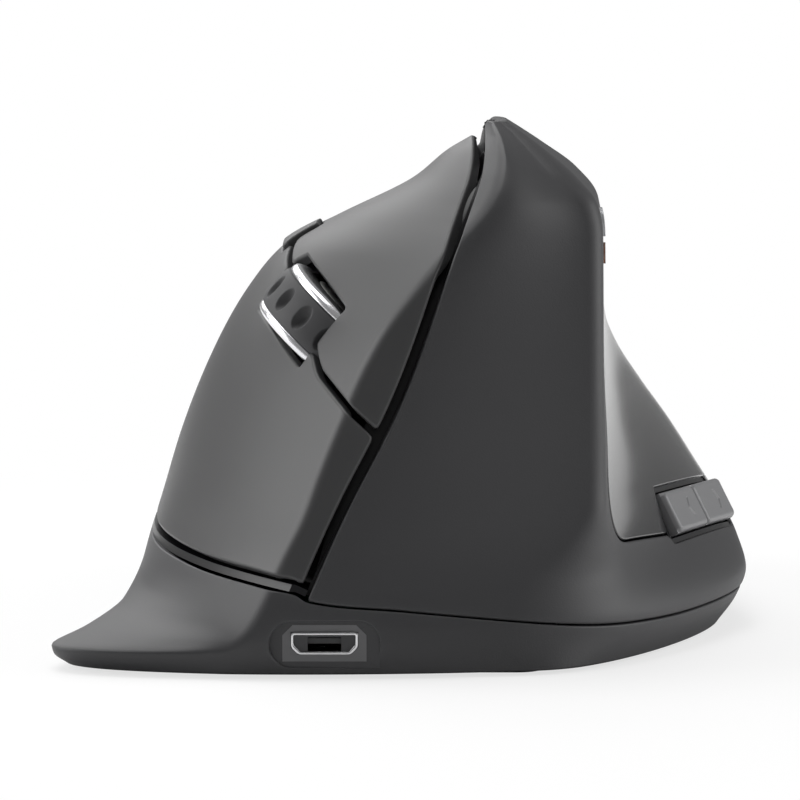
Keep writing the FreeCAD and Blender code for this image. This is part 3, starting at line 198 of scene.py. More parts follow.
@dataclass
class OuterForm:
    """The mouse's outer skin as a closed grid of rows (up the body) and columns (round it)."""

    foot_height: float = 0.5
    height: float = 60.6
    scale_x: float = 81.6 / 81.25
    scale_y: float = 120.3 / 120.0
    crease_round: float = 0.9
    columns: tuple[int, ...] = (60, 84, 130, 116, 84, 26)
    blend_columns: int = 8
    floor_rings: int = 70
    floor_spine: tuple = ((-12.0, 0.0), (24.0, 30.0))
    crest_spine: tuple = ((9.9, -32.0), (10.4, -21.0))
    cap_rings: int = 6
    guides: dict = field(default_factory=lambda: {
        "side_x": ((0, -38.4), (1.2, -39.8), (2.2, -40.0), (3.4, -36.7), (4.8, -32.9), (7, -31.8),
                   (9.3, -31.2), (14.9, -29.5), (22.2, -27.3), (32.4, -23.2), (40.1, -18.9),
                   (45.5, -14.3), (48.9, -8.2), (53.6, 0.6), (57, 4.5), (59.4, 8.1), (60.6, 9.1)),
        "side_y": ((0, -45.5), (2.2, -47.5), (3.4, -42), (4.8, -26), (7, -9), (9.3, -3), (30, -7),
                   (45, -14), (53.6, -22), (60.6, -28)),
        "side_turn": ((0, 15), (2.2, 15), (3.4, 13), (4.8, 7), (7, 0), (60.6, 0)),
        "crease_x": ((0, -20), (1.2, -20), (2.2, -20), (3.5, -19), (5.3, -17.6), (9.3, -15.6),
                     (13.1, -13.9), (17.7, -11.6), (22.2, -9.95), (27.8, -7.7), (32.9, -5.5), (38, -2.7),
                     (42.5, 0.7), (45.5, 3.2), (48, 5.4), (50, 7.2), (52, 8.7),
                     (54.6, 9.9), (57, 10.3), (59, 10.1), (60.6, 9.5)),
        "crease_turn": ((0, 10), (2.2, 10), (3.5, 24), (5.3, 40), (9.3, 50), (53, 58), (60.6, 80)),
        "front_y": ((0, -58.9), (4, -60), (9.3, -59.4), (20, -57.4), (30, -55.6), (40, -53.4),
                    (48, -50.8), (53, -48), (57, -43.5), (59.4, -38.5), (60.6, -34)),
        "corner_x": ((0, 17.2), (5, 19.8), (9, 21.2), (13, 21.9), (20, 22), (48, 22), (51.5, 21.4),
                     (54.6, 19), (57.5, 15.6), (59.4, 13), (60.6, 11.2)),
        "corner_y": ((0, -54.8), (5, -54.2), (9, -52), (13, -49.8), (20, -48), (30, -47), (40, -45.5),
                     (48, -43.5), (54.6, -40.5), (57.5, -37.5), (60.6, -32)),
        "corner_r": ((0, 4), (4, 9), (9, 9), (13, 5), (18, 1.8), (50, 1.8), (55, 2.4), (60.6, 0.8)),
        "wall_turn": ((0, 12), (5, 12), (13, 16), (20, 18), (60.6, 18)),
        "thumb_x": ((0, 37.0), (3, 39.3), (6.1, 40.5), (9.4, 39.7), (13.3, 37.7), (17.3, 35.2),
                    (22.5, 31.9), (27.7, 28.2), (32.6, 25.1), (36, 23.7), (41, 23), (47.2, 22.9),
                    (51, 22.4), (54.6, 19.7), (57.5, 15.9), (59.4, 13.2), (60.6, 11.4)),
        "thumb_y": ((0, -11), (6, -9), (13, 2), (25, 2), (36, -4), (48, -10), (55, -16), (60.6, -25)),
        "thumb_turn": ((0, 42), (5, 36), (13, 17), (25, 10), (36, 2), (60.6, 2)),
        "heel_y": ((0, 56.6), (3, 59.2), (6, 60), (10, 59.4), (20, 54), (30, 45.4), (40, 33),
                   (48, 20), (54, 6.5), (58, -6), (60.6, -19)),
        "heel_x": ((0, 3), (20, 3), (40, 6), (54, 10), (60.6, 10.2)),
    })

    def guide(self, name: str, heights: Array) -> Array:
        """One guide line at heights above the base underside, in millimetres."""
        scale = {"x": self.scale_x, "y": self.scale_y, "r": self.scale_x, "turn": 1.0}[name.split("_")[-1]]
        return monotone_cubic(self.guides[name], heights) * scale

    def plan(self, heights: Array) -> Array:
        """Control points of the six cubic curves of the plan outline: (rows, 6, 4, 2)."""
        g = {name: self.guide(name, heights) for name in self.guides}

        def pair(x: Array, y: Array) -> Array:
            return np.stack([x, y], axis=-1)

        def way(turn: Array) -> tuple[Array, Array]:
            return np.cos(np.radians(turn)), np.sin(np.radians(turn))

        front = g["front_y"]
        side = pair(g["side_x"], g["side_y"])
        crease = pair(np.maximum(g["crease_x"], side[:, 0] + 0.3), front + 0.8)
        corner = pair(g["corner_x"], g["corner_y"])
        radius = np.maximum(g["corner_r"], 0.6)[:, None]
        thumb = pair(g["thumb_x"], g["thumb_y"])
        heel = pair(g["heel_x"], g["heel_y"])
        cosine, sine = way(g["wall_turn"])
        wall_way = pair(-cosine, -sine)
        cosine, sine = way(g["thumb_turn"])
        thumb_way = pair(sine, cosine)
        cosine, sine = way(g["crease_turn"])
        crease_way = pair(-cosine, sine)
        cosine, sine = way(g["side_turn"])
        side_way = pair(sine, cosine)
        wall_end = corner + radius * wall_way
        thumb_start = corner + radius * thumb_way
        third = (wall_end[:, 0] - crease[:, 0]) / 3
        facet = 0.4 * np.linalg.norm(side - crease, axis=1)
        side_run = 0.5 * (heel[:, 1] - np.maximum(side[:, 1], -5.0))
        thumb_run = thumb[:, 1] - thumb_start[:, 1]
        curves = (
            (wall_end, wall_end + third[:, None] * wall_way, pair(crease[:, 0] + third, front), crease),
            (crease, crease + facet[:, None] * crease_way, side - facet[:, None] * side_way, side),
            (side, side + side_run[:, None] * side_way,
             pair(heel[:, 0] - 0.55 * (heel[:, 0] - side[:, 0]), heel[:, 1]), heel),
            (heel, pair(heel[:, 0] + 0.55 * (thumb[:, 0] - heel[:, 0]), heel[:, 1]),
             pair(thumb[:, 0], thumb[:, 1] + 0.5 * (heel[:, 1] - thumb[:, 1])), thumb),
            (thumb, pair(thumb[:, 0], thumb[:, 1] - 0.25 * thumb_run),
             thumb_start + 0.3 * thumb_run[:, None] * thumb_way, thumb_start),
            (thumb_start, thumb_start + (corner - thumb_start) * 2 / 3,
             wall_end + (corner - wall_end) * 2 / 3, wall_end),
        )
        return np.stack([np.stack(curve, axis=1) for curve in curves], axis=1)

    def outline(self, heights: Array) -> Array:
        """Plan outline at heights: (rows, columns, 2), each curve a Bezier cubic, its crease rounded.

        The corner between wall and facet becomes a quadratic whose middle control is the corner.
        """
        control = self.plan(heights)

        def cubic(index: int, share: Array) -> Array:
            a, b, c, d = (control[:, index, k, None, :] for k in range(4))
            return ((1 - share) ** 3 * a + 3 * share * (1 - share) ** 2 * b
                    + 3 * share**2 * (1 - share) * c + share**3 * d)

        run = np.linalg.norm(control[:, :2, 3] - control[:, :2, 0], axis=2)
        cut = np.clip(self.crease_round / np.maximum(run, 1), 0.01, 0.2)
        cut_wall, cut_side = cut[:, 0, None, None], cut[:, 1, None, None]
        ways = [np.linspace(0, 1, count, endpoint=False)[None, :, None] for count in self.columns]
        ways[0] = ways[0] * (1 - cut_wall)
        ways[1] = cut_side + ways[1] * (1 - cut_side)
        parts = [cubic(index, way) for index, way in enumerate(ways)]
        q = np.linspace(0, 1, self.blend_columns, endpoint=False)[None, :, None]
        start, corner, end = cubic(0, 1 - cut_wall), control[:, 0, 3, None, :], cubic(1, cut_side)
        blend = (1 - q) ** 2 * start + 2 * q * (1 - q) * corner + q**2 * end
        return np.concatenate([parts[0], blend, *parts[1:]], axis=1)

    def rows(self) -> Array:
        """Heights of the rows, closer where the skin turns quickly."""
        marks = ((0, 0.0), (14, 3.0), (40, 10.5), (118, 48.0), (150, 58.0), (174, self.height))
        index, height = np.array(marks).T
        return np.interp(np.arange(int(index[-1]) + 1), index, height)

    def grid(self) -> Array:
        """The closed skin: rings of the underside, rows up the body, rings of the crest's cap."""
        heights = self.rows()
        plan = self.outline(heights)
        skin = np.concatenate([plan, np.broadcast_to(heights[:, None, None], plan.shape[:2] + (1,))], axis=2)
        rings = [self.closing(skin[0], *self.floor_spine, self.floor_rings)[::-1], skin,
                 self.closing(skin[-1], *self.crest_spine, self.cap_rings)]
        whole = np.concatenate(rings, axis=0)
        whole[:, :, 2] += self.foot_height
        return whole

    @staticmethod
    def closing(ring: Array, low: tuple[float, float], high: tuple[float, float], count: int) -> Array:
        """Rings that shrink an outline onto a short spine at its own height."""
        spine = np.stack([np.interp(ring[:, 1], (low[1], high[1]), (low[0], high[0])),
                          np.clip(ring[:, 1], low[1], high[1])], axis=1)
        share = np.linspace(1, 0, count + 1)[1:, None, None]
        flat = spine[None] + share * (ring[None, :, :2] - spine[None])
        level = ring[None, :, 2:]
        return np.concatenate([flat, np.broadcast_to(level, flat.shape[:2] + (1,))], axis=2)


# Sheets: triangles with fields on their points

@dataclass
class Sheet:
    """A triangulated surface: points, outward normals and faces, in millimetres."""

    points: Array
    normals: Array
    faces: Array

    @classmethod
    def from_grid(cls, grid: Array, wrap: bool) -> "Sheet":
        """Sheet of a grid of points whose normals are the cross product of its two ways.

        Args:
            grid: (rows, columns, 3) points.
            wrap: whether the last column joins the first.

        Returns:
            The sheet, with normals along (column way) x (row way).
        """
        if wrap:
            across = np.roll(grid, -1, axis=1) - np.roll(grid, 1, axis=1)
        else:
            across = np.gradient(grid, axis=1)
        up = np.gradient(grid, axis=0)
        normals = np.cross(up, across)
        weak = np.linalg.norm(normals, axis=2) < 1e-9
        normals = unit(normals)
        normals[weak] = (0, 0, -1)
        rows, columns = grid.shape[:2]
        index = np.arange(rows * columns).reshape(rows, columns)
        right = np.roll(index, -1, axis=1) if wrap else index[:, 1:]
        left = index if wrap else index[:, :-1]
        a, b, c, d = left[:-1], right[:-1], right[1:], left[1:]
        faces = np.concatenate([np.stack([a, d, c], axis=-1).reshape(-1, 3),
                                np.stack([a, c, b], axis=-1).reshape(-1, 3)])
        return cls(grid.reshape(-1, 3), normals.reshape(-1, 3), faces)

    def gradient(self, values: Array) -> Array:
        """Surface gradient of a field at the points: the faces' own gradients, summed by their area."""
        p = self.points[self.faces]
        f = values[self.faces]
        cross = np.cross(p[:, 1] - p[:, 0], p[:, 2] - p[:, 0])
        area = np.linalg.norm(cross, axis=1)
        n = cross / np.maximum(area, 1e-12)[:, None]
        slope = (f[:, 0, None] * np.cross(n, p[:, 2] - p[:, 1])
                 + f[:, 1, None] * np.cross(n, p[:, 0] - p[:, 2])
                 + f[:, 2, None] * np.cross(n, p[:, 1] - p[:, 0]))
        total, weight = np.zeros_like(self.points), np.zeros(len(self.points))
        for k in range(3):
            for axis in range(3):
                total[:, axis] += np.bincount(self.faces[:, k], slope[:, axis], len(self.points))
            weight += np.bincount(self.faces[:, k], area, len(self.points))
        return total / np.maximum(weight, 1e-9)[:, None]

    def true_distance(self, values: Array, least: float = 0.25) -> Array:
        """A field turned into millimetres along the surface, by the steepness of its gradient."""
        steep = np.linalg.norm(self.gradient(values), axis=1)
        return values / np.clip(steep, least, 1.0)


def slice_faces(data: Array, faces: Array, level: float, snap: float = 0.015) -> tuple[Array, Array]:
    """Splits faces along one level of the last column of their points' data.

    Args:
        data: one row per point, with the field in the last column.
        faces: triangles.
        level: the field's value to split at.
        snap: points this near to the level count as on it.

    Returns:
        The data with the new points, and the faces, none of which crosses the level.
    """
    value = data[:, -1] - level
    near = np.abs(value) < snap
    data = data.copy()
    data[near, -1] = level
    value[near] = 0
    sign = np.sign(value)[faces]
    crossing = (sign.min(1) < 0) & (sign.max(1) > 0)
    kept, cut = faces[~crossing], faces[crossing]
    sign = sign[crossing]
    zero = (sign == 0).any(1)
    apart = np.argmax(sign == -np.sign(sign.sum(1))[:, None], axis=1)
    lone = np.where(zero, np.argmax(sign == 0, axis=1), apart)
    turn = (lone[:, None] + np.arange(3)) % 3
    cut = np.take_along_axis(cut, turn, axis=1)
    one, two = cut[zero], cut[~zero]
    edges = np.concatenate([one[:, [1, 2]], two[:, [0, 1]], two[:, [0, 2]]])
    if not len(edges):
        return data, faces
    unique, inverse = np.unique(np.sort(edges, axis=1), axis=0, return_inverse=True)
    inverse = inverse.reshape(-1)
    a, b = unique.T
    share = value[a] / (value[a] - value[b])
    fresh = data[a] + share[:, None] * (data[b] - data[a])
    fresh[:, -1] = level
    new = inverse + len(data)
    m, p, q = new[:len(one)], new[len(one):len(one) + len(two)], new[len(one) + len(two):]
    made = np.concatenate([
        np.stack([one[:, 0], one[:, 1], m], axis=1), np.stack([one[:, 0], m, one[:, 2]], axis=1),
        np.stack([two[:, 0], p, q], axis=1), np.stack([p, two[:, 1], two[:, 2]], axis=1),
        np.stack([p, two[:, 2], q], axis=1)])
    return np.concatenate([data, fresh]), np.concatenate([kept, made])


def tidy(data: Array, faces: Array) -> tuple[Array, Array]:
    """Drops points that no face uses, and faces that use a point twice."""
    sound = (faces[:, 0] != faces[:, 1]) & (faces[:, 1] != faces[:, 2]) & (faces[:, 0] != faces[:, 2])
    used, inverse = np.unique(faces[sound], return_inverse=True)
    return data[used], inverse.reshape(-1, 3)


@dataclass(frozen=True)
class Edge:
    """How a moulding ends at its outline: the radius of its edge, and its wall, in millimetres."""

    radius: float = 0.35
    wall: float = 1.6
    sink: float = 0.0


# Wall at the crest, and what it gains with each millimetre below it
CREST_WALL = 0.2
WALL_GAIN = 0.3


def moulding(sheet: Sheet, inside: Array, edge: Edge,
             shape: Callable[[Array, Array], Array] | None = None) -> tuple[Array, Array, Array, Array]:
    """Cuts a piece out of the skin and gives it rounded edges and a wall.

    Args:
        sheet: the skin.
        inside: distance inside the piece's outline at each point, negative outside.
        edge: its edge.
        shape: extra push along the normal, from points and distances.

    Returns:
        Points, normals, faces, and each point's distance from the outline. Within one radius of
        the outline the skin sinks by the quarter circle r - sqrt(r^2 - (r - d)^2), and its normal
        turns outwards; the inner wall is the skin moved inwards, less so under the narrow crest,
        and a strip joins the two.
    """
    near = inside[sheet.faces].max(1) > 0
    start = np.column_stack([sheet.points, sheet.normals, inside])
    data, faces = tidy(start, sheet.faces[near])
    part = Sheet(data[:, :3], data[:, 3:6], faces)
    outwards = -unit(part.gradient(data[:, -1]))
    data = np.column_stack([data[:, :6], outwards, data[:, -1]])
    data, faces = slice_faces(data, faces, 0.0)
    faces = faces[data[faces, -1].mean(1) > 0]
    data, faces = tidy(data, faces)
    for share in (0.12, 0.3, 0.55, 1.0):
        data, faces = slice_faces(data, faces, share * edge.radius, 0.15 * share * edge.radius)
    data, faces = tidy(data, faces)
    skin, normal, outward, depth = data[:, :3], unit(data[:, 3:6]), data[:, 6:9], data[:, -1]
    outward = unit(outward - normal * np.sum(outward * normal, axis=1, keepdims=True))
    if shape is not None:
        skin = skin + normal * shape(skin, depth)[:, None]
    skin = skin - normal * edge.sink
    lean = np.clip((edge.radius - depth) / edge.radius, 0, 1)[:, None]
    upright = np.sqrt(np.maximum(1 - lean**2, 0))
    front = skin - normal * edge.radius * (1 - upright)
    front_normal = unit(normal * upright + outward * lean)
    below_crest = sheet.points[:, 2].max() - skin[:, 2]
    back = skin - normal * np.clip(CREST_WALL + WALL_GAIN * below_crest, 0, edge.wall)[:, None]
    back_normal = np.where(depth[:, None] <= 1e-6, outward, -normal)
    count = len(skin)
    sides = np.concatenate([faces[:, [0, 1]], faces[:, [1, 2]], faces[:, [2, 0]]])
    keys = np.sort(sides, axis=1)
    unique, inverse, times = np.unique(keys, axis=0, return_inverse=True, return_counts=True)
    rim = sides[times[inverse.reshape(-1)] == 1]
    strip = np.concatenate([np.stack([rim[:, 1], rim[:, 0], rim[:, 0] + count], axis=1),
                            np.stack([rim[:, 1], rim[:, 0] + count, rim[:, 1] + count], axis=1)])
    points = np.concatenate([front, back])
    normals = np.concatenate([front_normal, back_normal])
    return (points, normals, np.concatenate([faces, faces[:, ::-1] + count, strip]),
            np.concatenate([depth, depth]))


def add_mesh(name: str, points: Array, faces: Array, normals: Array | None = None,
             attributes: dict[str, Array] | None = None) -> bpy.types.Object:
    """Object whose place is in its mesh.

    Args:
        name: the piece's name.
        points: millimetres in the mouse's frame.
        faces: triangles or quads.
        normals: one normal per point, or none for plain smooth shading.
        attributes: named values per point.

    Returns:
        The linked object, smooth shaded.
    """
    mesh = bpy.data.meshes.new(name)
    mesh.vertices.add(len(points))
    mesh.vertices.foreach_set("co", (points * MM).astype(np.float32).ravel())
    corners = faces.shape[1]
    mesh.loops.add(faces.size)
    mesh.loops.foreach_set("vertex_index", faces.astype(np.int32).ravel())
    mesh.polygons.add(len(faces))
    mesh.polygons.foreach_set("loop_start", np.arange(0, faces.size, corners, dtype=np.int32))
    mesh.polygons.foreach_set("use_smooth", np.ones(len(faces), bool))
    mesh.update(calc_edges=True)
    for title, values in (attributes or {}).items():
        mesh.attributes.new(title, "FLOAT", "POINT").data.foreach_set("value", values.astype(np.float32))
    if normals is not None:
        mesh.normals_split_custom_set_from_vertices(normals.astype(np.float32))
    piece = bpy.data.objects.new(name, mesh)
    bpy.context.scene.collection.objects.link(piece)
    return piece


def grid_faces(rows: int, columns: int, wrap_rows: bool = False, wrap_columns: bool = False) -> Array:
    """Quads of a grid of points, each way open or closed."""
    index = np.arange(rows * columns).reshape(rows, columns)
    if wrap_rows:
        index = np.vstack([index, index[:1]])
    if wrap_columns:
        index = np.hstack([index, index[:, :1]])
    return np.stack([index[:-1, :-1], index[:-1, 1:], index[1:, 1:], index[1:, :-1]], axis=-1).reshape(-1, 4)


def turned(profile: Array, count: int) -> tuple[Array, Array]:
    """Closed profile of (along X, radius) points turned about X, as points and quads."""
    angle = np.linspace(0, 2 * np.pi, count, endpoint=False)[:, None]
    along = np.broadcast_to(profile[None, :, 0], (count, len(profile)))
    radius = profile[None, :, 1]
    points = np.stack([along, radius * np.cos(angle), radius * np.sin(angle)], axis=-1)
    return points.reshape(-1, 3), grid_faces(count, len(profile), True, True)


def rounded_outline(corners: Sequence[tuple[float, float]], radius: float, steps: int = 6) -> Array:
    """Closed outline with every corner replaced by a quadratic of the given reach."""
    p = np.array(corners, float)
    before, after = np.roll(p, 1, axis=0) - p, np.roll(p, -1, axis=0) - p
    q = np.linspace(0, 1, steps)[None, :, None]
    start, end = (p + unit(before) * radius)[:, None], (p + unit(after) * radius)[:, None]
    return ((1 - q) ** 2 * start + 2 * q * (1 - q) * p[:, None] + q**2 * end).reshape(-1, 2)


# Materials

class Finish(Enum):
    """The finishes of the mouse's pieces."""

    SHELL = "shell"
    KEY = "key"
    PANEL = "panel"
    INNER_BLACK = "inner_black"
    THUMB_KEY = "thumb_key"
    CLEAR_GREY = "clear_grey"
    AMBER = "amber"
    RUBBER = "rubber"
    RIM = "rim"
    WHITE = "white"
    STEEL = "steel"
    BOARD = "board"
    DARK_PLASTIC = "dark_plastic"
    FOIL = "foil"
    PORT = "port"
    BEZEL = "bezel"
    FOOT = "foot"
    CLEAR = "clear"


@dataclass(frozen=True)
class Moulded:
    """Values of a moulded or metal finish."""

    colour: tuple[float, float, float]
    rough: float
    grain: float = 0.00035
    grain_depth: float = 0.25
    mottle: float = 0.06
    # Strength of the lighter colour at the edges: partly wear, partly a painted edge highlight
    wear_and_highlight: float = 0.0
    metal: float = 0.0
    coat: float = 0.0
    coat_rough: float = 0.1
    transmission: float = 0.0
    specular: float = 0.5


FINISHES = {
    Finish.SHELL: Moulded((0.034, 0.034, 0.036), 0.50, 0.00022, 0.30, 0.05, 0.25, specular=0.4),
    Finish.KEY: Moulded((0.040, 0.040, 0.041), 0.42, 0.00018, 0.14, 0.04, 0.22, specular=0.4),
    Finish.PANEL: Moulded((0.020, 0.020, 0.021), 0.20, 0.00025, 0.05, 0.03, 0.15, coat=0.25, coat_rough=0.12),
    Finish.INNER_BLACK: Moulded((0.006, 0.006, 0.007), 0.32, 0.0004, 0.04, 0.02, specular=0.3),
    Finish.THUMB_KEY: Moulded((0.16, 0.16, 0.165), 0.40, 0.0002, 0.10, 0.04, 0.1),
    Finish.CLEAR_GREY: Moulded((0.55, 0.56, 0.58), 0.22, 0.0005, 0.05, 0.04, transmission=0.4),
    Finish.AMBER: Moulded((0.30, 0.15, 0.10), 0.25, 0.0005, 0.05, 0.05, transmission=0.3),
    Finish.RUBBER: Moulded((0.035, 0.035, 0.037), 0.62, 0.00015, 0.35, 0.10, 0.1),
    Finish.RIM: Moulded((0.78, 0.78, 0.80), 0.26, 0.0004, 0.03, 0.03, metal=1.0),
    Finish.WHITE: Moulded((0.62, 0.62, 0.60), 0.45, 0.0004, 0.10, 0.04),
    Finish.STEEL: Moulded((0.55, 0.55, 0.56), 0.30, 0.0003, 0.06, 0.05, metal=1.0),
    Finish.BOARD: Moulded((0.02, 0.14, 0.05), 0.38, 0.0012, 0.10, 0.25, coat=0.2),
    Finish.DARK_PLASTIC: Moulded((0.025, 0.025, 0.026), 0.45, 0.0003, 0.15, 0.06),
    Finish.FOIL: Moulded((0.60, 0.60, 0.61), 0.35, 0.0030, 0.30, 0.06, metal=1.0),
    Finish.PORT: Moulded((0.66, 0.66, 0.67), 0.22, 0.0003, 0.04, 0.05, metal=1.0),
    Finish.BEZEL: Moulded((0.13, 0.13, 0.135), 0.28, 0.0004, 0.08, 0.05, transmission=0.25),
    Finish.FOOT: Moulded((0.05, 0.05, 0.052), 0.30, 0.0004, 0.10, 0.06, 0.1),
    Finish.CLEAR: Moulded((0.85, 0.86, 0.88), 0.06, 0.0010, 0.02, 0.02, transmission=0.9),
}


class Workshop:
    """Builds the shader groups once, and one material per finish."""

    def __init__(self) -> None:
        """Starts with the surface group that every finish shares."""
        self.surface = self.surface_group()
        self.made: dict[Finish, bpy.types.Material] = {}

    @staticmethod
    def surface_group() -> bpy.types.ShaderNodeTree:
        """Group of a moulded surface: mottled colour, edges lighter for wear and for a painted highlight,
        uneven gloss and a fine grain.

        Returns:
            The group, with its colour, roughness and normal as outputs.
        """
        tree = bpy.data.node_groups.new("moulded_surface", "ShaderNodeTree")
        number, colour = "NodeSocketFloat", "NodeSocketColor"
        for name, kind, value in (("Colour", colour, (0.05, 0.05, 0.05, 1)), ("Roughness", number, 0.5),
                                  ("Grain Size", number, 0.0003), ("Grain Depth", number, 0.2),
                                  ("Mottle", number, 0.05), ("Wear And Highlight", number, 0.0)):
            tree.interface.new_socket(name, in_out="INPUT", socket_type=kind).default_value = value
        for name, kind in (("Colour", colour), ("Roughness", number), ("Normal", "NodeSocketVector")):
            tree.interface.new_socket(name, in_out="OUTPUT", socket_type=kind)
        nodes, links = tree.nodes, tree.links
        inlet, outlet = nodes.new("NodeGroupInput"), nodes.new("NodeGroupOutput")
        place = nodes.new("ShaderNodeTexCoord").outputs["Object"]

        def math_node(operation: str, first: object, second: object) -> bpy.types.NodeSocket:
            node = nodes.new("ShaderNodeMath")
            node.operation = operation
            for socket, value in zip(node.inputs, (first, second)):
                if isinstance(value, (int, float)):
                    socket.default_value = value
                else:
                    links.new(value, socket)
            return node.outputs[0]

        def noise(scale: object, detail: float, rough: float) -> bpy.types.NodeSocket:
            node = nodes.new("ShaderNodeTexNoise")
            node.inputs["Detail"].default_value = detail
            node.inputs["Roughness"].default_value = rough
            links.new(place, node.inputs["Vector"])
            if isinstance(scale, (int, float)):
                node.inputs["Scale"].default_value = scale
            else:
                links.new(scale, node.inputs["Scale"])
            return node.outputs["Fac"]

        cloud = noise(55.0, 4.0, 0.55)
        broad = noise(14.0, 2.0, 0.5)
        both = math_node("ADD", math_node("SUBTRACT", cloud, 0.5), math_node("SUBTRACT", broad, 0.5))
        swing = math_node("MULTIPLY", both, inlet.outputs["Mottle"])
        gain = math_node("ADD", math_node("MULTIPLY", swing, 2.0), 1.0)
        # Colour lighter near the edges: partly wear, partly a painted highlight along the rounded edges
        edge = nodes.new("ShaderNodeAttribute")
        edge.attribute_name = "from_edge"
        fade = math_node("MULTIPLY", edge.outputs["Fac"], -2.6)
        close = math_node("POWER", 2.718, fade)
        patchy = math_node("MULTIPLY", close, math_node("ADD", noise(900.0, 3.0, 0.6), 0.3))
        wear_and_painted_highlight = math_node("MULTIPLY", patchy, inlet.outputs["Wear And Highlight"])
        tint = nodes.new("ShaderNodeVectorMath")
        tint.operation = "SCALE"
        links.new(inlet.outputs["Colour"], tint.inputs[0])
        links.new(math_node("ADD", gain, wear_and_painted_highlight), tint.inputs["Scale"])
        links.new(tint.outputs["Vector"], outlet.inputs["Colour"])
        gloss = math_node("ADD", inlet.outputs["Roughness"], math_node("MULTIPLY", swing, 0.6))
        links.new(gloss, outlet.inputs["Roughness"])
        fine = noise(math_node("DIVIDE", 1.0, inlet.outputs["Grain Size"]), 2.0, 0.5)
        bump = nodes.new("ShaderNodeBump")
        bump.inputs["Distance"].default_value = 0.00004
        links.new(inlet.outputs["Grain Depth"], bump.inputs["Strength"])
        links.new(fine, bump.inputs["Height"])
        links.new(bump.outputs["Normal"], outlet.inputs["Normal"])
        return tree

    def material(self, finish: Finish) -> bpy.types.Material:
        """The material of a finish, made at its first use."""
        if finish in self.made:
            return self.made[finish]
        values = FINISHES[finish]
        material = bpy.data.materials.new(finish.value)
        material.use_nodes = True
        tree = material.node_tree
        shader = tree.nodes["Principled BSDF"]
        group = tree.nodes.new("ShaderNodeGroup")
        group.node_tree = self.surface
        group.inputs["Colour"].default_value = (*values.colour, 1)
        group.inputs["Roughness"].default_value = values.rough
        group.inputs["Grain Size"].default_value = values.grain
        group.inputs["Grain Depth"].default_value = values.grain_depth
        group.inputs["Mottle"].default_value = values.mottle
        group.inputs["Wear And Highlight"].default_value = values.wear_and_highlight
        tree.links.new(group.outputs["Colour"], shader.inputs["Base Color"])
        tree.links.new(group.outputs["Roughness"], shader.inputs["Roughness"])
        tree.links.new(group.outputs["Normal"], shader.inputs["Normal"])
        shader.inputs["Metallic"].default_value = values.metal
        shader.inputs["Specular IOR Level"].default_value = values.specular
        shader.inputs["Coat Weight"].default_value = values.coat
        shader.inputs["Coat Roughness"].default_value = values.coat_rough
        shader.inputs["Transmission Weight"].default_value = values.transmission
        self.made[finish] = material
        return material

    def dress(self, piece: bpy.types.Object, finish: Finish) -> None:
        """Gives a piece one finish all over."""
        piece.data.materials.clear()
        piece.data.materials.append(self.material(finish))


def settle(piece: bpy.types.Object, body: str, slot: str, *nodes: str) -> bpy.types.Object:
    """Lets a finished piece ride on its body and stand for its nodes; logs it."""
    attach(piece, body)
    if nodes:
        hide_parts(*nodes)
    LOG.info("%s: %d faces on %s", piece.name, len(piece.data.polygons), body)
    return piece


# Skin pieces

# Value of a field on the sides of the mouse that its line doesn't reach
FAR_OUTSIDE = -50.0


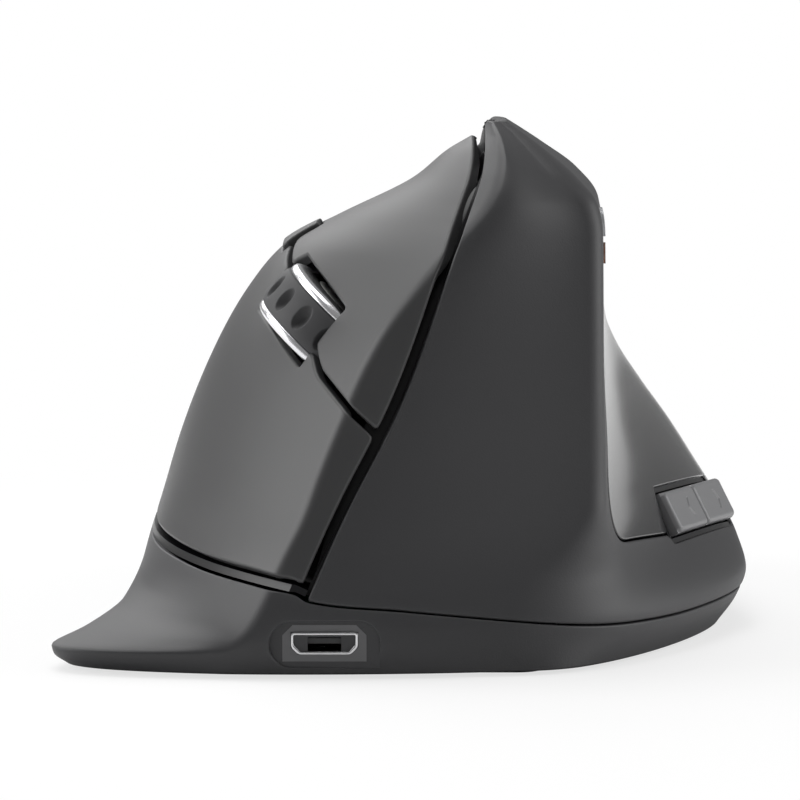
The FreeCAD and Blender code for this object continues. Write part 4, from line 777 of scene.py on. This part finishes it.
@dataclass
class Skin:
    """The outer skin with the distance fields that its pieces are cut by."""

    form: OuterForm
    slot_gap: float = 1.2
    split_gap: float = 0.8
    key_gap: float = 0.65
    sill: float = 1.0
    seam_gap: float = 0.2
    fit_gap: float = 0.1
    key_length: float = 31.5
    slot_line: tuple = ((-11.4, 9.6), (-6.6, 20), (-2.4, 28), (3, 42), (5, 48), (6.5, 52), (7.55, 55),
                        (7.9, 57), (8.05, 59.5), (8.2, 62))
    base_seam: tuple = ((-50, 11.15), (-30, 10.95), (-23.3, 10.25), (-12.8, 9.05), (-11.2, 8.15),
                        (-0.5, 6.95), (12, 5.55), (24, 4.25), (33, 3.85), (50, 4.35))
    panel_line: tuple = ((-44.5, 15.5), (-44.9, 24), (-44.6, 32), (-42.8, 38), (-36, 40), (-24, 40),
                         (-4, 38), (10, 30.5), (15.5, 20), (12, 13.2), (-2, 11.6), (-24, 12),
                         (-39, 12.8), (-43, 13.7))
    split_line: tuple = ((-60, -2.8), (-14, -2.8), (-8, -1.2), (12, 2.3), (20, 4.3), (34, 6.5), (60, 8))
    wheel_half: float = 4.3
    wheel_reach: float = 9.0
    wheel_chamfer: float = 1.5
    dpi_corners: tuple = ((2.1, 17.1), (6.7, 17.8), (6.7, 23.9), (2.1, 23.2))
    pocket_corners: tuple = ((-13.4, -3.35), (13.4, -3.35), (13.4, 3.35), (-13.4, 3.35))
    windows: tuple = ((49.2, 6.0, 3.2), (45.6, 3.2, 2.4))
    window_y: float = -35
    port_centre: tuple[float, float] = (-9.435, 3.95)
    recess_half: tuple[float, float] = (6.2, 2.6)
    valley_line: tuple = ((10.7, 53), (7.6, 45.5), (5.2, 37.8), (3.0, 31))
    valley_depth: float = 0.22
    valley_width: float = 1.3
    valley_ends: tuple[float, float] = (5, 8)
    valley_rear: float = -35
    valley_fade: float = 4
    slot_run_out: float = 8
    dpi_floor: float = -6
    pocket_floor: float = -9
    thumb_side_from: float = 12
    port_side_to: float = -50
    crest_x: float = 9.9
    crest_y: tuple[float, float] = (-34, -20)
    crest_from: float = 52
    crest_drop: float = 6

    def __post_init__(self) -> None:
        """Works out the sheet and its fields, each the distance from its line at the points."""
        self.sheet = Sheet.from_grid(self.form.grid(), True)
        p = self.sheet.points
        self.turn_crest_outwards()
        up = self.form.foot_height
        front_view = p[:, [0, 2]]
        slot = spline(self.in_front(self.slot_line), 160)
        slot = np.vstack([slot[0] - self.slot_run_out * unit(slot[1] - slot[0]), slot])
        self.slot = line_distance(front_view, slot)
        self.seam = p[:, 2] - up - monotone_cubic(self.base_seam, p[:, 0] / self.form.scale_x)
        finger = FINGER.local(p)
        self.rear = finger[:, 1] - self.key_length
        self.split = finger[:, 0] - monotone_cubic(self.split_line, finger[:, 1])
        half, end, chamfer = self.wheel_half, self.wheel_reach, self.wheel_chamfer
        corners = ((-half, -end), (half, -end), (half, end - chamfer), (half - chamfer, end), (-half, end))
        self.wheel = polygon_distance(finger[:, :2], corners)
        self.dpi = self.only(finger[:, 2] > self.dpi_floor, polygon_distance(finger[:, :2], self.dpi_corners))
        thumb_side = p[:, 0] > self.thumb_side_from
        panel = spline(np.array(self.panel_line) * (self.form.scale_y, 1) + (0, up), 240, closed=True)
        self.panel = self.only(thumb_side, line_distance(p[:, 1:], panel, closed=True))
        thumb = THUMB.local(p)
        pocket = polygon_distance(thumb[:, :2], self.pocket_corners)
        self.pocket = self.only(thumb[:, 2] > self.pocket_floor, pocket)
        self.lenses = np.full(len(p), FAR_OUTSIDE)
        for height, long, tall in self.windows:
            flat = p[:, 1:] - (self.window_y * self.form.scale_y, up + height)
            pill = rounded_box_distance(flat, (long / 2, tall / 2), tall / 2 - 0.01)
            self.lenses = np.maximum(self.lenses, self.only(thumb_side, pill))
        half = self.recess_half
        recess = rounded_box_distance(front_view - self.port_centre, half, half[1] - 0.1)
        self.recess = self.only(p[:, 1] < self.port_side_to, recess)

    def turn_crest_outwards(self) -> None:
        """Turns the crest's normals that point at the spine inside it, where its narrow rings fold."""
        p = self.sheet.points
        spine = np.stack([np.full(len(p), self.crest_x), np.clip(p[:, 1], *self.crest_y),
                          p[:, 2] - self.crest_drop], axis=1)
        inward = (np.sum(self.sheet.normals * (p - spine), axis=1) < 0) & (p[:, 2] > self.crest_from)
        self.sheet.normals[inward] *= -1

    def in_front(self, line: Sequence[tuple[float, float]]) -> Array:
        """Points of a line drawn in the front view, at their places in the mouse."""
        return np.array(line, float) * (self.form.scale_x, 1) + (0, self.form.foot_height)

    @staticmethod
    def only(where: Array, values: Array) -> Array:
        """A field on one side of the mouse, and far outside on the other."""
        return np.where(where, values, FAR_OUTSIDE)

    def along(self, values: Array, least: float = 0.3) -> Array:
        """A field as millimetres along the skin."""
        return self.sheet.true_distance(values, least)

    def valley(self, points: Array, depth: Array) -> Array:
        """Push of the shallow valley that runs down the front wall beside the slot."""
        line = spline(self.in_front(self.valley_line), 60)
        flat = points[:, [0, 2]]
        away = line_distance(flat, line)
        top, bottom = self.valley_ends
        fade = np.clip((line[0, 1] - flat[:, 1]) / top, 0, 1)
        fade = fade * np.clip((flat[:, 1] - line[-1, 1]) / bottom, 0, 1) * np.clip(depth, 0, 1)
        fade = fade * np.clip((self.valley_rear - points[:, 1]) / self.valley_fade, 0, 1)
        return -self.valley_depth * fade * np.exp(-((away / self.valley_width) ** 2))


def round_min(*fields: Array, radius: float = 0.8) -> Array:
    """Distance inside several fields at once, its inner corners rounded.

    Where every field is over the radius this is their least. Nearer to a corner it is the radius
    less the length of how far the fields fall short of it.
    """
    stack = np.stack(fields)
    short = np.sqrt(np.sum(np.maximum(radius - stack, 0) ** 2, axis=0))
    return np.where(stack.min(0) >= radius, stack.min(0), radius - short)


@dataclass
class Shells:
    """Main shell, base tray, thumb panel and finger keys, cut from the skin."""

    skin: Skin
    shop: Workshop

    def piece(self, name: str, inside: Array, edge: Edge, finish: Finish, body: str, slot: str, *nodes: str,
              shape: Callable[[Array, Array], Array] | None = None) -> bpy.types.Object:
        """One moulding of the skin, dressed and settled."""
        points, normals, faces, depth = moulding(self.skin.sheet, inside, edge, shape)
        made = add_mesh(name, points, faces, normals, {"from_edge": depth})
        self.shop.dress(made, finish)
        return settle(made, body, slot, *nodes)

    def build(self) -> None:
        """All the shells."""
        s = self.skin
        half_slot, half_split, half_seam = s.slot_gap / 2, s.split_gap / 2, s.seam_gap / 2
        clear_pocket, clear_lens = s.along(-s.pocket - s.fit_gap), s.along(-s.lenses - s.fit_gap)
        around = np.maximum(s.along(s.slot - half_slot), s.along(s.rear - s.key_gap))
        main = round_min(s.along(s.seam - s.seam_gap), around, s.along(-s.panel - half_seam), clear_pocket,
                         clear_lens, radius=0.3)
        self.piece("main_shell_skin", main, Edge(0.3, 1.7), Finish.SHELL, "housing", "shell_black",
                   "main_shell", shape=s.valley)
        self.piece("base_skin", round_min(s.along(-s.seam), s.along(-s.recess), radius=0.2), Edge(0.22, 0.9),
                   Finish.SHELL, "housing", "shell_black", "base_shell")
        panel = round_min(s.along(s.panel - half_seam), clear_pocket, radius=0.3)
        self.piece("thumb_panel_skin", panel, Edge(0.22, 1.2), Finish.PANEL, "housing", "panel_gloss",
                   "thumb_panel")
        zone = [s.along(field) for field in (-s.slot - half_slot, s.seam - s.sill - s.key_gap, -s.rear,
                                             -s.wheel, -s.dpi - 3 * s.fit_gap)]
        for name, side in (("index_key", 1), ("middle_key", -1)):
            inside = round_min(*zone, s.along(side * s.split - half_split), radius=0.5)
            self.piece(f"{name}_skin", inside, Edge(0.4, 1.3), Finish.KEY, name, "key_grey", name)
        self.piece("dpi_button_skin", round_min(s.along(s.dpi), radius=0.5), Edge(0.3, 1.6, -0.5), Finish.KEY,
                   "dpi_button", "key_grey", "dpi_button")


# Wheel

@dataclass
class ScrollWheel:
    """Scooped tyre and bright rims, turned about the finger frame's X axis."""

    shop: Workshop
    radius: float = 11.0
    tyre_width: float = 4.6
    tyre_depth: float = 2.0
    rim_width: float = 1.2
    rim_drop: float = 0.5
    rim_depth: float = 3.5
    dimples: int = 18
    dimple_depth: float = 0.9
    dimple_half: float = 0.70
    dimple_share: float = 0.25
    crown: float = 0.35
    tread_points: int = 49
    steps_per_dimple: int = 40
    rim_steps: int = 220
    rim_round: tuple[float, float] = (0.75, 0.9)
    rim_round_points: int = 12

    def build(self) -> None:
        """Tyre and rims."""
        self.tyre()
        self.rims()

    def tyre(self) -> None:
        """Tyre whose tread has a row of long oval scoops."""
        half, inner = self.tyre_width / 2, self.radius - self.tyre_depth
        across = np.linspace(-1, 1, self.tread_points)
        tread = np.stack([half * across, self.radius - self.crown * np.abs(across) ** 3], axis=1)
        profile = np.vstack([tread, [(half, inner), (-half, inner)]])
        count = self.dimples * self.steps_per_dimple
        points, faces = turned(profile, count)
        grid = points.reshape(count, len(profile), 3)
        angle = np.linspace(0, 2 * np.pi, count, endpoint=False)[:, None]
        phase = (angle * self.dimples / (2 * np.pi)) % 1 - 0.5
        oval = (phase / self.dimple_share) ** 2 + (profile[None, :, 0] / (half * self.dimple_half)) ** 2
        dent = self.dimple_depth * np.clip(1 - oval, 0, 1)
        dent[:, len(tread):] = 0
        grid[:, :, 1:] *= (1 - dent / profile[None, :, 1])[:, :, None]
        piece = add_mesh("wheel_tyre_skin", FINGER.world(grid.reshape(-1, 3)), faces[:, ::-1])
        self.shop.dress(piece, Finish.RUBBER)
        settle(piece, "wheel", "wheel_rubber", "wheel_tyre")

    def rims(self) -> None:
        """Two rings that bulge beside the tyre, in one piece."""
        half, high = self.tyre_width / 2, self.radius - self.rim_drop
        low, end = high - self.rim_depth, half + self.rim_width
        bulge = np.linspace(0, np.pi / 2, self.rim_round_points)
        aside, down = self.rim_round
        shoulder = [(end - aside * (1 - math.sin(turn)), high - down * (1 - math.cos(turn)))
                    for turn in bulge]
        ring = np.array([(half, low), (end, low), *shoulder[::-1], (half, high)])
        points, faces = turned(ring, self.rim_steps)
        mirrored = FINGER.world(points * (-1, 1, 1))
        whole = np.vstack([FINGER.world(points), mirrored])
        piece = add_mesh("wheel_rim_skin", whole, np.vstack([faces[:, ::-1], faces + len(points)]))
        self.shop.dress(piece, Finish.RIM)
        settle(piece, "wheel", "rim_silver", "wheel_rims")


# Thumb keys

@dataclass
class ThumbKey:
    """A thumb key with soft edges, a slight dish and an engraved chevron."""

    shop: Workshop
    name: str
    side: int
    length: float = 12.2
    height: float = 5.2
    split: float = 0.3
    rise: float = 0.9
    floor: float = -2.6
    bevel: float = 0.7
    dish: float = 0.12
    chevron: float = 0.16
    chevron_half: float = 1.25
    chevron_width: float = 0.3
    chevron_place: float = 1.7
    chevron_lean: float = 0.75
    chevron_tip: float = 0.5
    chevron_edge: float = 0.12
    cells: tuple[int, int] = (140, 90)

    def build(self) -> None:
        """The cap as a height field over its rectangle, closed by a wall and a floor."""
        columns, rows = self.cells
        u, v = np.meshgrid(np.linspace(-1, 1, columns), np.linspace(-1, 1, rows))
        half_x, half_y = self.length / 2, self.height / 2
        x, y = half_x * u, half_y * v
        ends, sides = half_x * (1 - np.abs(u)), half_y * (1 - np.abs(v))
        inside = round_min(ends.ravel(), sides.ravel(), radius=self.bevel).reshape(u.shape)
        soft = 1 - np.sqrt(np.clip(1 - (1 - np.clip(inside / self.bevel, 0, 1)) ** 2, 0, 1))
        hollow = self.dish * (1 - u**2) * (1 - v**2)
        across = self.side * (x - self.chevron_place) + self.chevron_lean * np.abs(y) - self.chevron_tip
        arm = np.abs(across) / math.hypot(1, self.chevron_lean)
        stroke = np.clip((self.chevron_width - arm) / self.chevron_edge, 0, 1)
        stroke = stroke * np.clip((self.chevron_half - np.abs(y)) / self.chevron_edge, 0, 1)
        top = np.stack([x, y, self.rise - self.bevel * soft - hollow - self.chevron * stroke], axis=-1)
        border = np.concatenate([top[0, :], top[1:, -1], top[-1, -2::-1], top[-2:0:-1, 0]])
        ring = border * (1, 1, 0) + (0, 0, self.floor)
        points = np.concatenate([top.reshape(-1, 3), border, ring, [(0, 0, self.floor)]])
        start, count = rows * columns, len(border)
        index = np.arange(count)
        after = (index + 1) % count
        wall = np.stack([start + index, start + count + index, start + count + after, start + after], axis=1)
        middle = np.full(count, start + 2 * count)
        floor = np.stack([start + count + after, start + count + index, middle], axis=1)
        quads = np.concatenate([grid_faces(rows, columns), wall])
        faces = np.concatenate([quads[:, [0, 1, 2]], quads[:, [0, 2, 3]], floor])
        place = THUMB.world(points + (self.side * (self.length + self.split) / 2, 0, 0))
        edge = np.concatenate([inside.ravel(), np.zeros(2 * count + 1)])
        piece = add_mesh(f"{self.name}_cap", place, faces, attributes={"from_edge": edge})
        self.shop.dress(piece, Finish.THUMB_KEY)
        settle(piece, self.name, "thumb_grey", self.name)


# Charging port

@dataclass
class ChargingPort:
    """Metal mouth of the port, and the floor of the plug recess round it."""

    shop: Workshop
    centre: tuple[float, float, float] = (-9.44, -58.57, 4.05)
    width: float = 7.5
    height: float = 2.5
    wall: float = 0.3
    depth: float = 5.2
    proud: float = 0.3
    floor_half: tuple[float, float] = (6.25, 2.65)

    def outline(self, grow: float, radius: float) -> Array:
        """The six-sided mouth, wide above and narrow below."""
        half, tall, cut = self.width / 2 + grow, self.height / 2 + grow, 0.8
        low, bend = half - cut, cut - tall
        corners = ((-low, -tall), (low, -tall), (half, bend), (half, tall), (-half, tall), (-half, bend))
        return rounded_outline(corners, radius)

    def build(self) -> None:
        """Rim and floor."""
        outer, inner = self.outline(0.0, 0.35), self.outline(-self.wall, 0.2)
        start, stop = -self.proud, self.depth - self.proud
        stations = ((outer, stop), (outer, start + 0.1), (outer * 0.985, start), (inner * 1.02, start),
                    (inner, start + 0.12), (inner, stop - 0.3))
        grid = np.stack([np.insert(line, 1, y, axis=1) for line, y in stations]) + self.centre
        faces = grid_faces(len(stations), len(outer), False, True)
        piece = add_mesh("port_mouth", grid.reshape(-1, 3), faces)
        self.shop.dress(piece, Finish.PORT)
        settle(piece, "housing", "port_metal", "usb_port")
        angle = np.linspace(0, 2 * np.pi, 160, endpoint=False)
        half_x, half_z = self.floor_half
        edge = np.stack([np.clip(9 * np.cos(angle), -half_x, half_x), np.zeros(len(angle)),
                         np.clip(4 * np.sin(angle), -half_z, half_z)], axis=1)
        reach = np.linspace(0.3, 1.0, 8)[:, None, None]
        floor = reach * edge[None] + self.centre - (0, 0, 0.1)
        faces = grid_faces(len(reach), len(angle), False, True)
        piece = add_mesh("recess_floor", floor.reshape(-1, 3), faces)
        self.shop.dress(piece, Finish.SHELL)
        settle(piece, "housing", "shell_black")


NODE_FINISHES = {
    Finish.INNER_BLACK: ("key_carrier", "thumb_bezel"),
    Finish.CLEAR_GREY: ("indicator_lens",),
    Finish.AMBER: ("charge_lens",),
    Finish.WHITE: ("wheel_hub",),
    Finish.STEEL: ("wheel_axle", "cradle_pin", "shell_screws", "board_screws"),
    Finish.DARK_PLASTIC: ("wheel_cradle", "wheel_stand", "encoder", "index_switch", "middle_switch",
                          "wheel_switch", "dpi_switch", "forward_switch", "back_switch", "main_chip",
                          "optical_sensor", "power_switch", "usb_tongue"),
    Finish.BOARD: ("key_board", "thumb_board", "main_board"),
    Finish.FOIL: ("battery",),
    Finish.BEZEL: ("usb_bezel",),
    Finish.FOOT: ("glide_feet",),
    Finish.CLEAR: ("sensor_lens", "sensor_lamp"),
    Finish.THUMB_KEY: ("power_slider",),
}


@dataclass
class Studio:
    """Pale floor, soft lamps and the photograph's camera."""

    eye: tuple[float, float, float] = (-0.0010, -0.6719, 0.0904)
    target: tuple[float, float, float] = (-0.0010, 0.0, 0.0257)
    focal: float = 249.4

    def build(self) -> None:
        """Camera, floor, lamps and world."""
        camera = bpy.data.objects.new("camera", bpy.data.cameras.new("camera"))
        camera.data.lens, camera.data.sensor_width = self.focal, 36.0
        camera.data.clip_start, camera.data.clip_end = 0.01, 20
        camera.location = self.eye
        way = Vector(self.target) - Vector(self.eye)
        camera.rotation_mode = "QUATERNION"
        camera.rotation_quaternion = way.to_track_quat("-Z", "Y")
        bpy.context.scene.collection.objects.link(camera)
        bpy.context.scene.camera = camera
        bpy.context.scene.view_settings.view_transform = "Standard"
        self.floor()
        self.lamp("left", (-1.0, 0.10, 0.45), 0.8, 8.0)
        self.lamp("right", (1.0, 0.05, 0.35), 0.8, 7.0)
        self.lamp("top", (-0.15, 0.15, 1.1), 0.8, 7.0)
        self.lamp("back", (-0.4, 1.0, 0.75), 0.9, 5.0)
        world = bpy.data.worlds.new("studio")
        world.use_nodes = True
        bpy.context.scene.world = world
        tree = world.node_tree
        back = tree.nodes["Background"]
        path = tree.nodes.new("ShaderNodeLightPath")
        seen = tree.nodes.new("ShaderNodeMath")
        seen.operation = "MAXIMUM"
        tree.links.new(path.outputs["Is Camera Ray"], seen.inputs[0])
        tree.links.new(path.outputs["Is Transmission Ray"], seen.inputs[1])
        level = tree.nodes.new("ShaderNodeMapRange")
        level.inputs["To Min"].default_value, level.inputs["To Max"].default_value = 0.26, 1.0
        tree.links.new(seen.outputs[0], level.inputs["Value"])
        tree.links.new(level.outputs["Result"], back.inputs["Strength"])
        back.inputs["Color"].default_value = (1, 1, 1, 1)

    def floor(self) -> None:
        """Wide pale floor."""
        points = np.array([(-3000, -3000, 0), (3000, -3000, 0), (3000, 3000, 0), (-3000, 3000, 0)], float)
        plane = add_mesh("floor", points, np.array([[0, 1, 2, 3]]))
        material = bpy.data.materials.new("floor")
        material.use_nodes = True
        tree = material.node_tree
        shader = tree.nodes["Principled BSDF"]
        shader.inputs["Base Color"].default_value = (0.86, 0.86, 0.86, 1)
        shader.inputs["Roughness"].default_value = 0.6
        path = tree.nodes.new("ShaderNodeLightPath")
        glow = tree.nodes.new("ShaderNodeEmission")
        glow.inputs["Strength"].default_value = 1.0
        mix = tree.nodes.new("ShaderNodeMixShader")
        place = tree.nodes.new("ShaderNodeTexCoord")
        away = tree.nodes.new("ShaderNodeVectorMath")
        away.operation = "LENGTH"
        tree.links.new(place.outputs["Object"], away.inputs[0])
        fade = tree.nodes.new("ShaderNodeMapRange")
        fade.interpolation_type = "SMOOTHSTEP"
        for name, value in (("From Min", 0.05), ("From Max", 0.16), ("To Min", 0.70), ("To Max", 1.0)):
            fade.inputs[name].default_value = value
        tree.links.new(away.outputs["Value"], fade.inputs["Value"])
        share = tree.nodes.new("ShaderNodeMath")
        share.operation = "MULTIPLY"
        tree.links.new(path.outputs["Is Camera Ray"], share.inputs[0])
        tree.links.new(fade.outputs["Result"], share.inputs[1])
        tree.links.new(share.outputs[0], mix.inputs[0])
        tree.links.new(shader.outputs[0], mix.inputs[1])
        tree.links.new(glow.outputs[0], mix.inputs[2])
        tree.links.new(mix.outputs[0], tree.nodes["Material Output"].inputs["Surface"])
        plane.data.materials.append(material)

    @staticmethod
    def lamp(name: str, place: tuple[float, float, float], size: float, power: float) -> None:
        """Square soft lamp that faces the mouse."""
        data = bpy.data.lights.new(name, "AREA")
        data.size, data.energy = size, power
        lamp = bpy.data.objects.new(name, data)
        lamp.location = place
        lamp.rotation_mode = "QUATERNION"
        lamp.rotation_quaternion = (Vector((0, 0, 0.03)) - Vector(place)).to_track_quat("-Z", "Y")
        bpy.context.scene.collection.objects.link(lamp)


def main() -> None:
    """Builds every piece in order."""
    logging.basicConfig(level=logging.INFO, format="%(name)s: %(message)s")
    shop = Workshop()
    Studio().build()
    skin = Skin(OuterForm())
    Shells(skin, shop).build()
    ScrollWheel(shop).build()
    for name, side in (("forward_key", -1), ("back_key", 1)):
        ThumbKey(shop, name, side).build()
    ChargingPort(shop).build()
    for finish, names in NODE_FINISHES.items():
        for name in names:
            shop.dress(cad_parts[name], finish)
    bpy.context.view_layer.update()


if __name__ == "__main__":
    main()
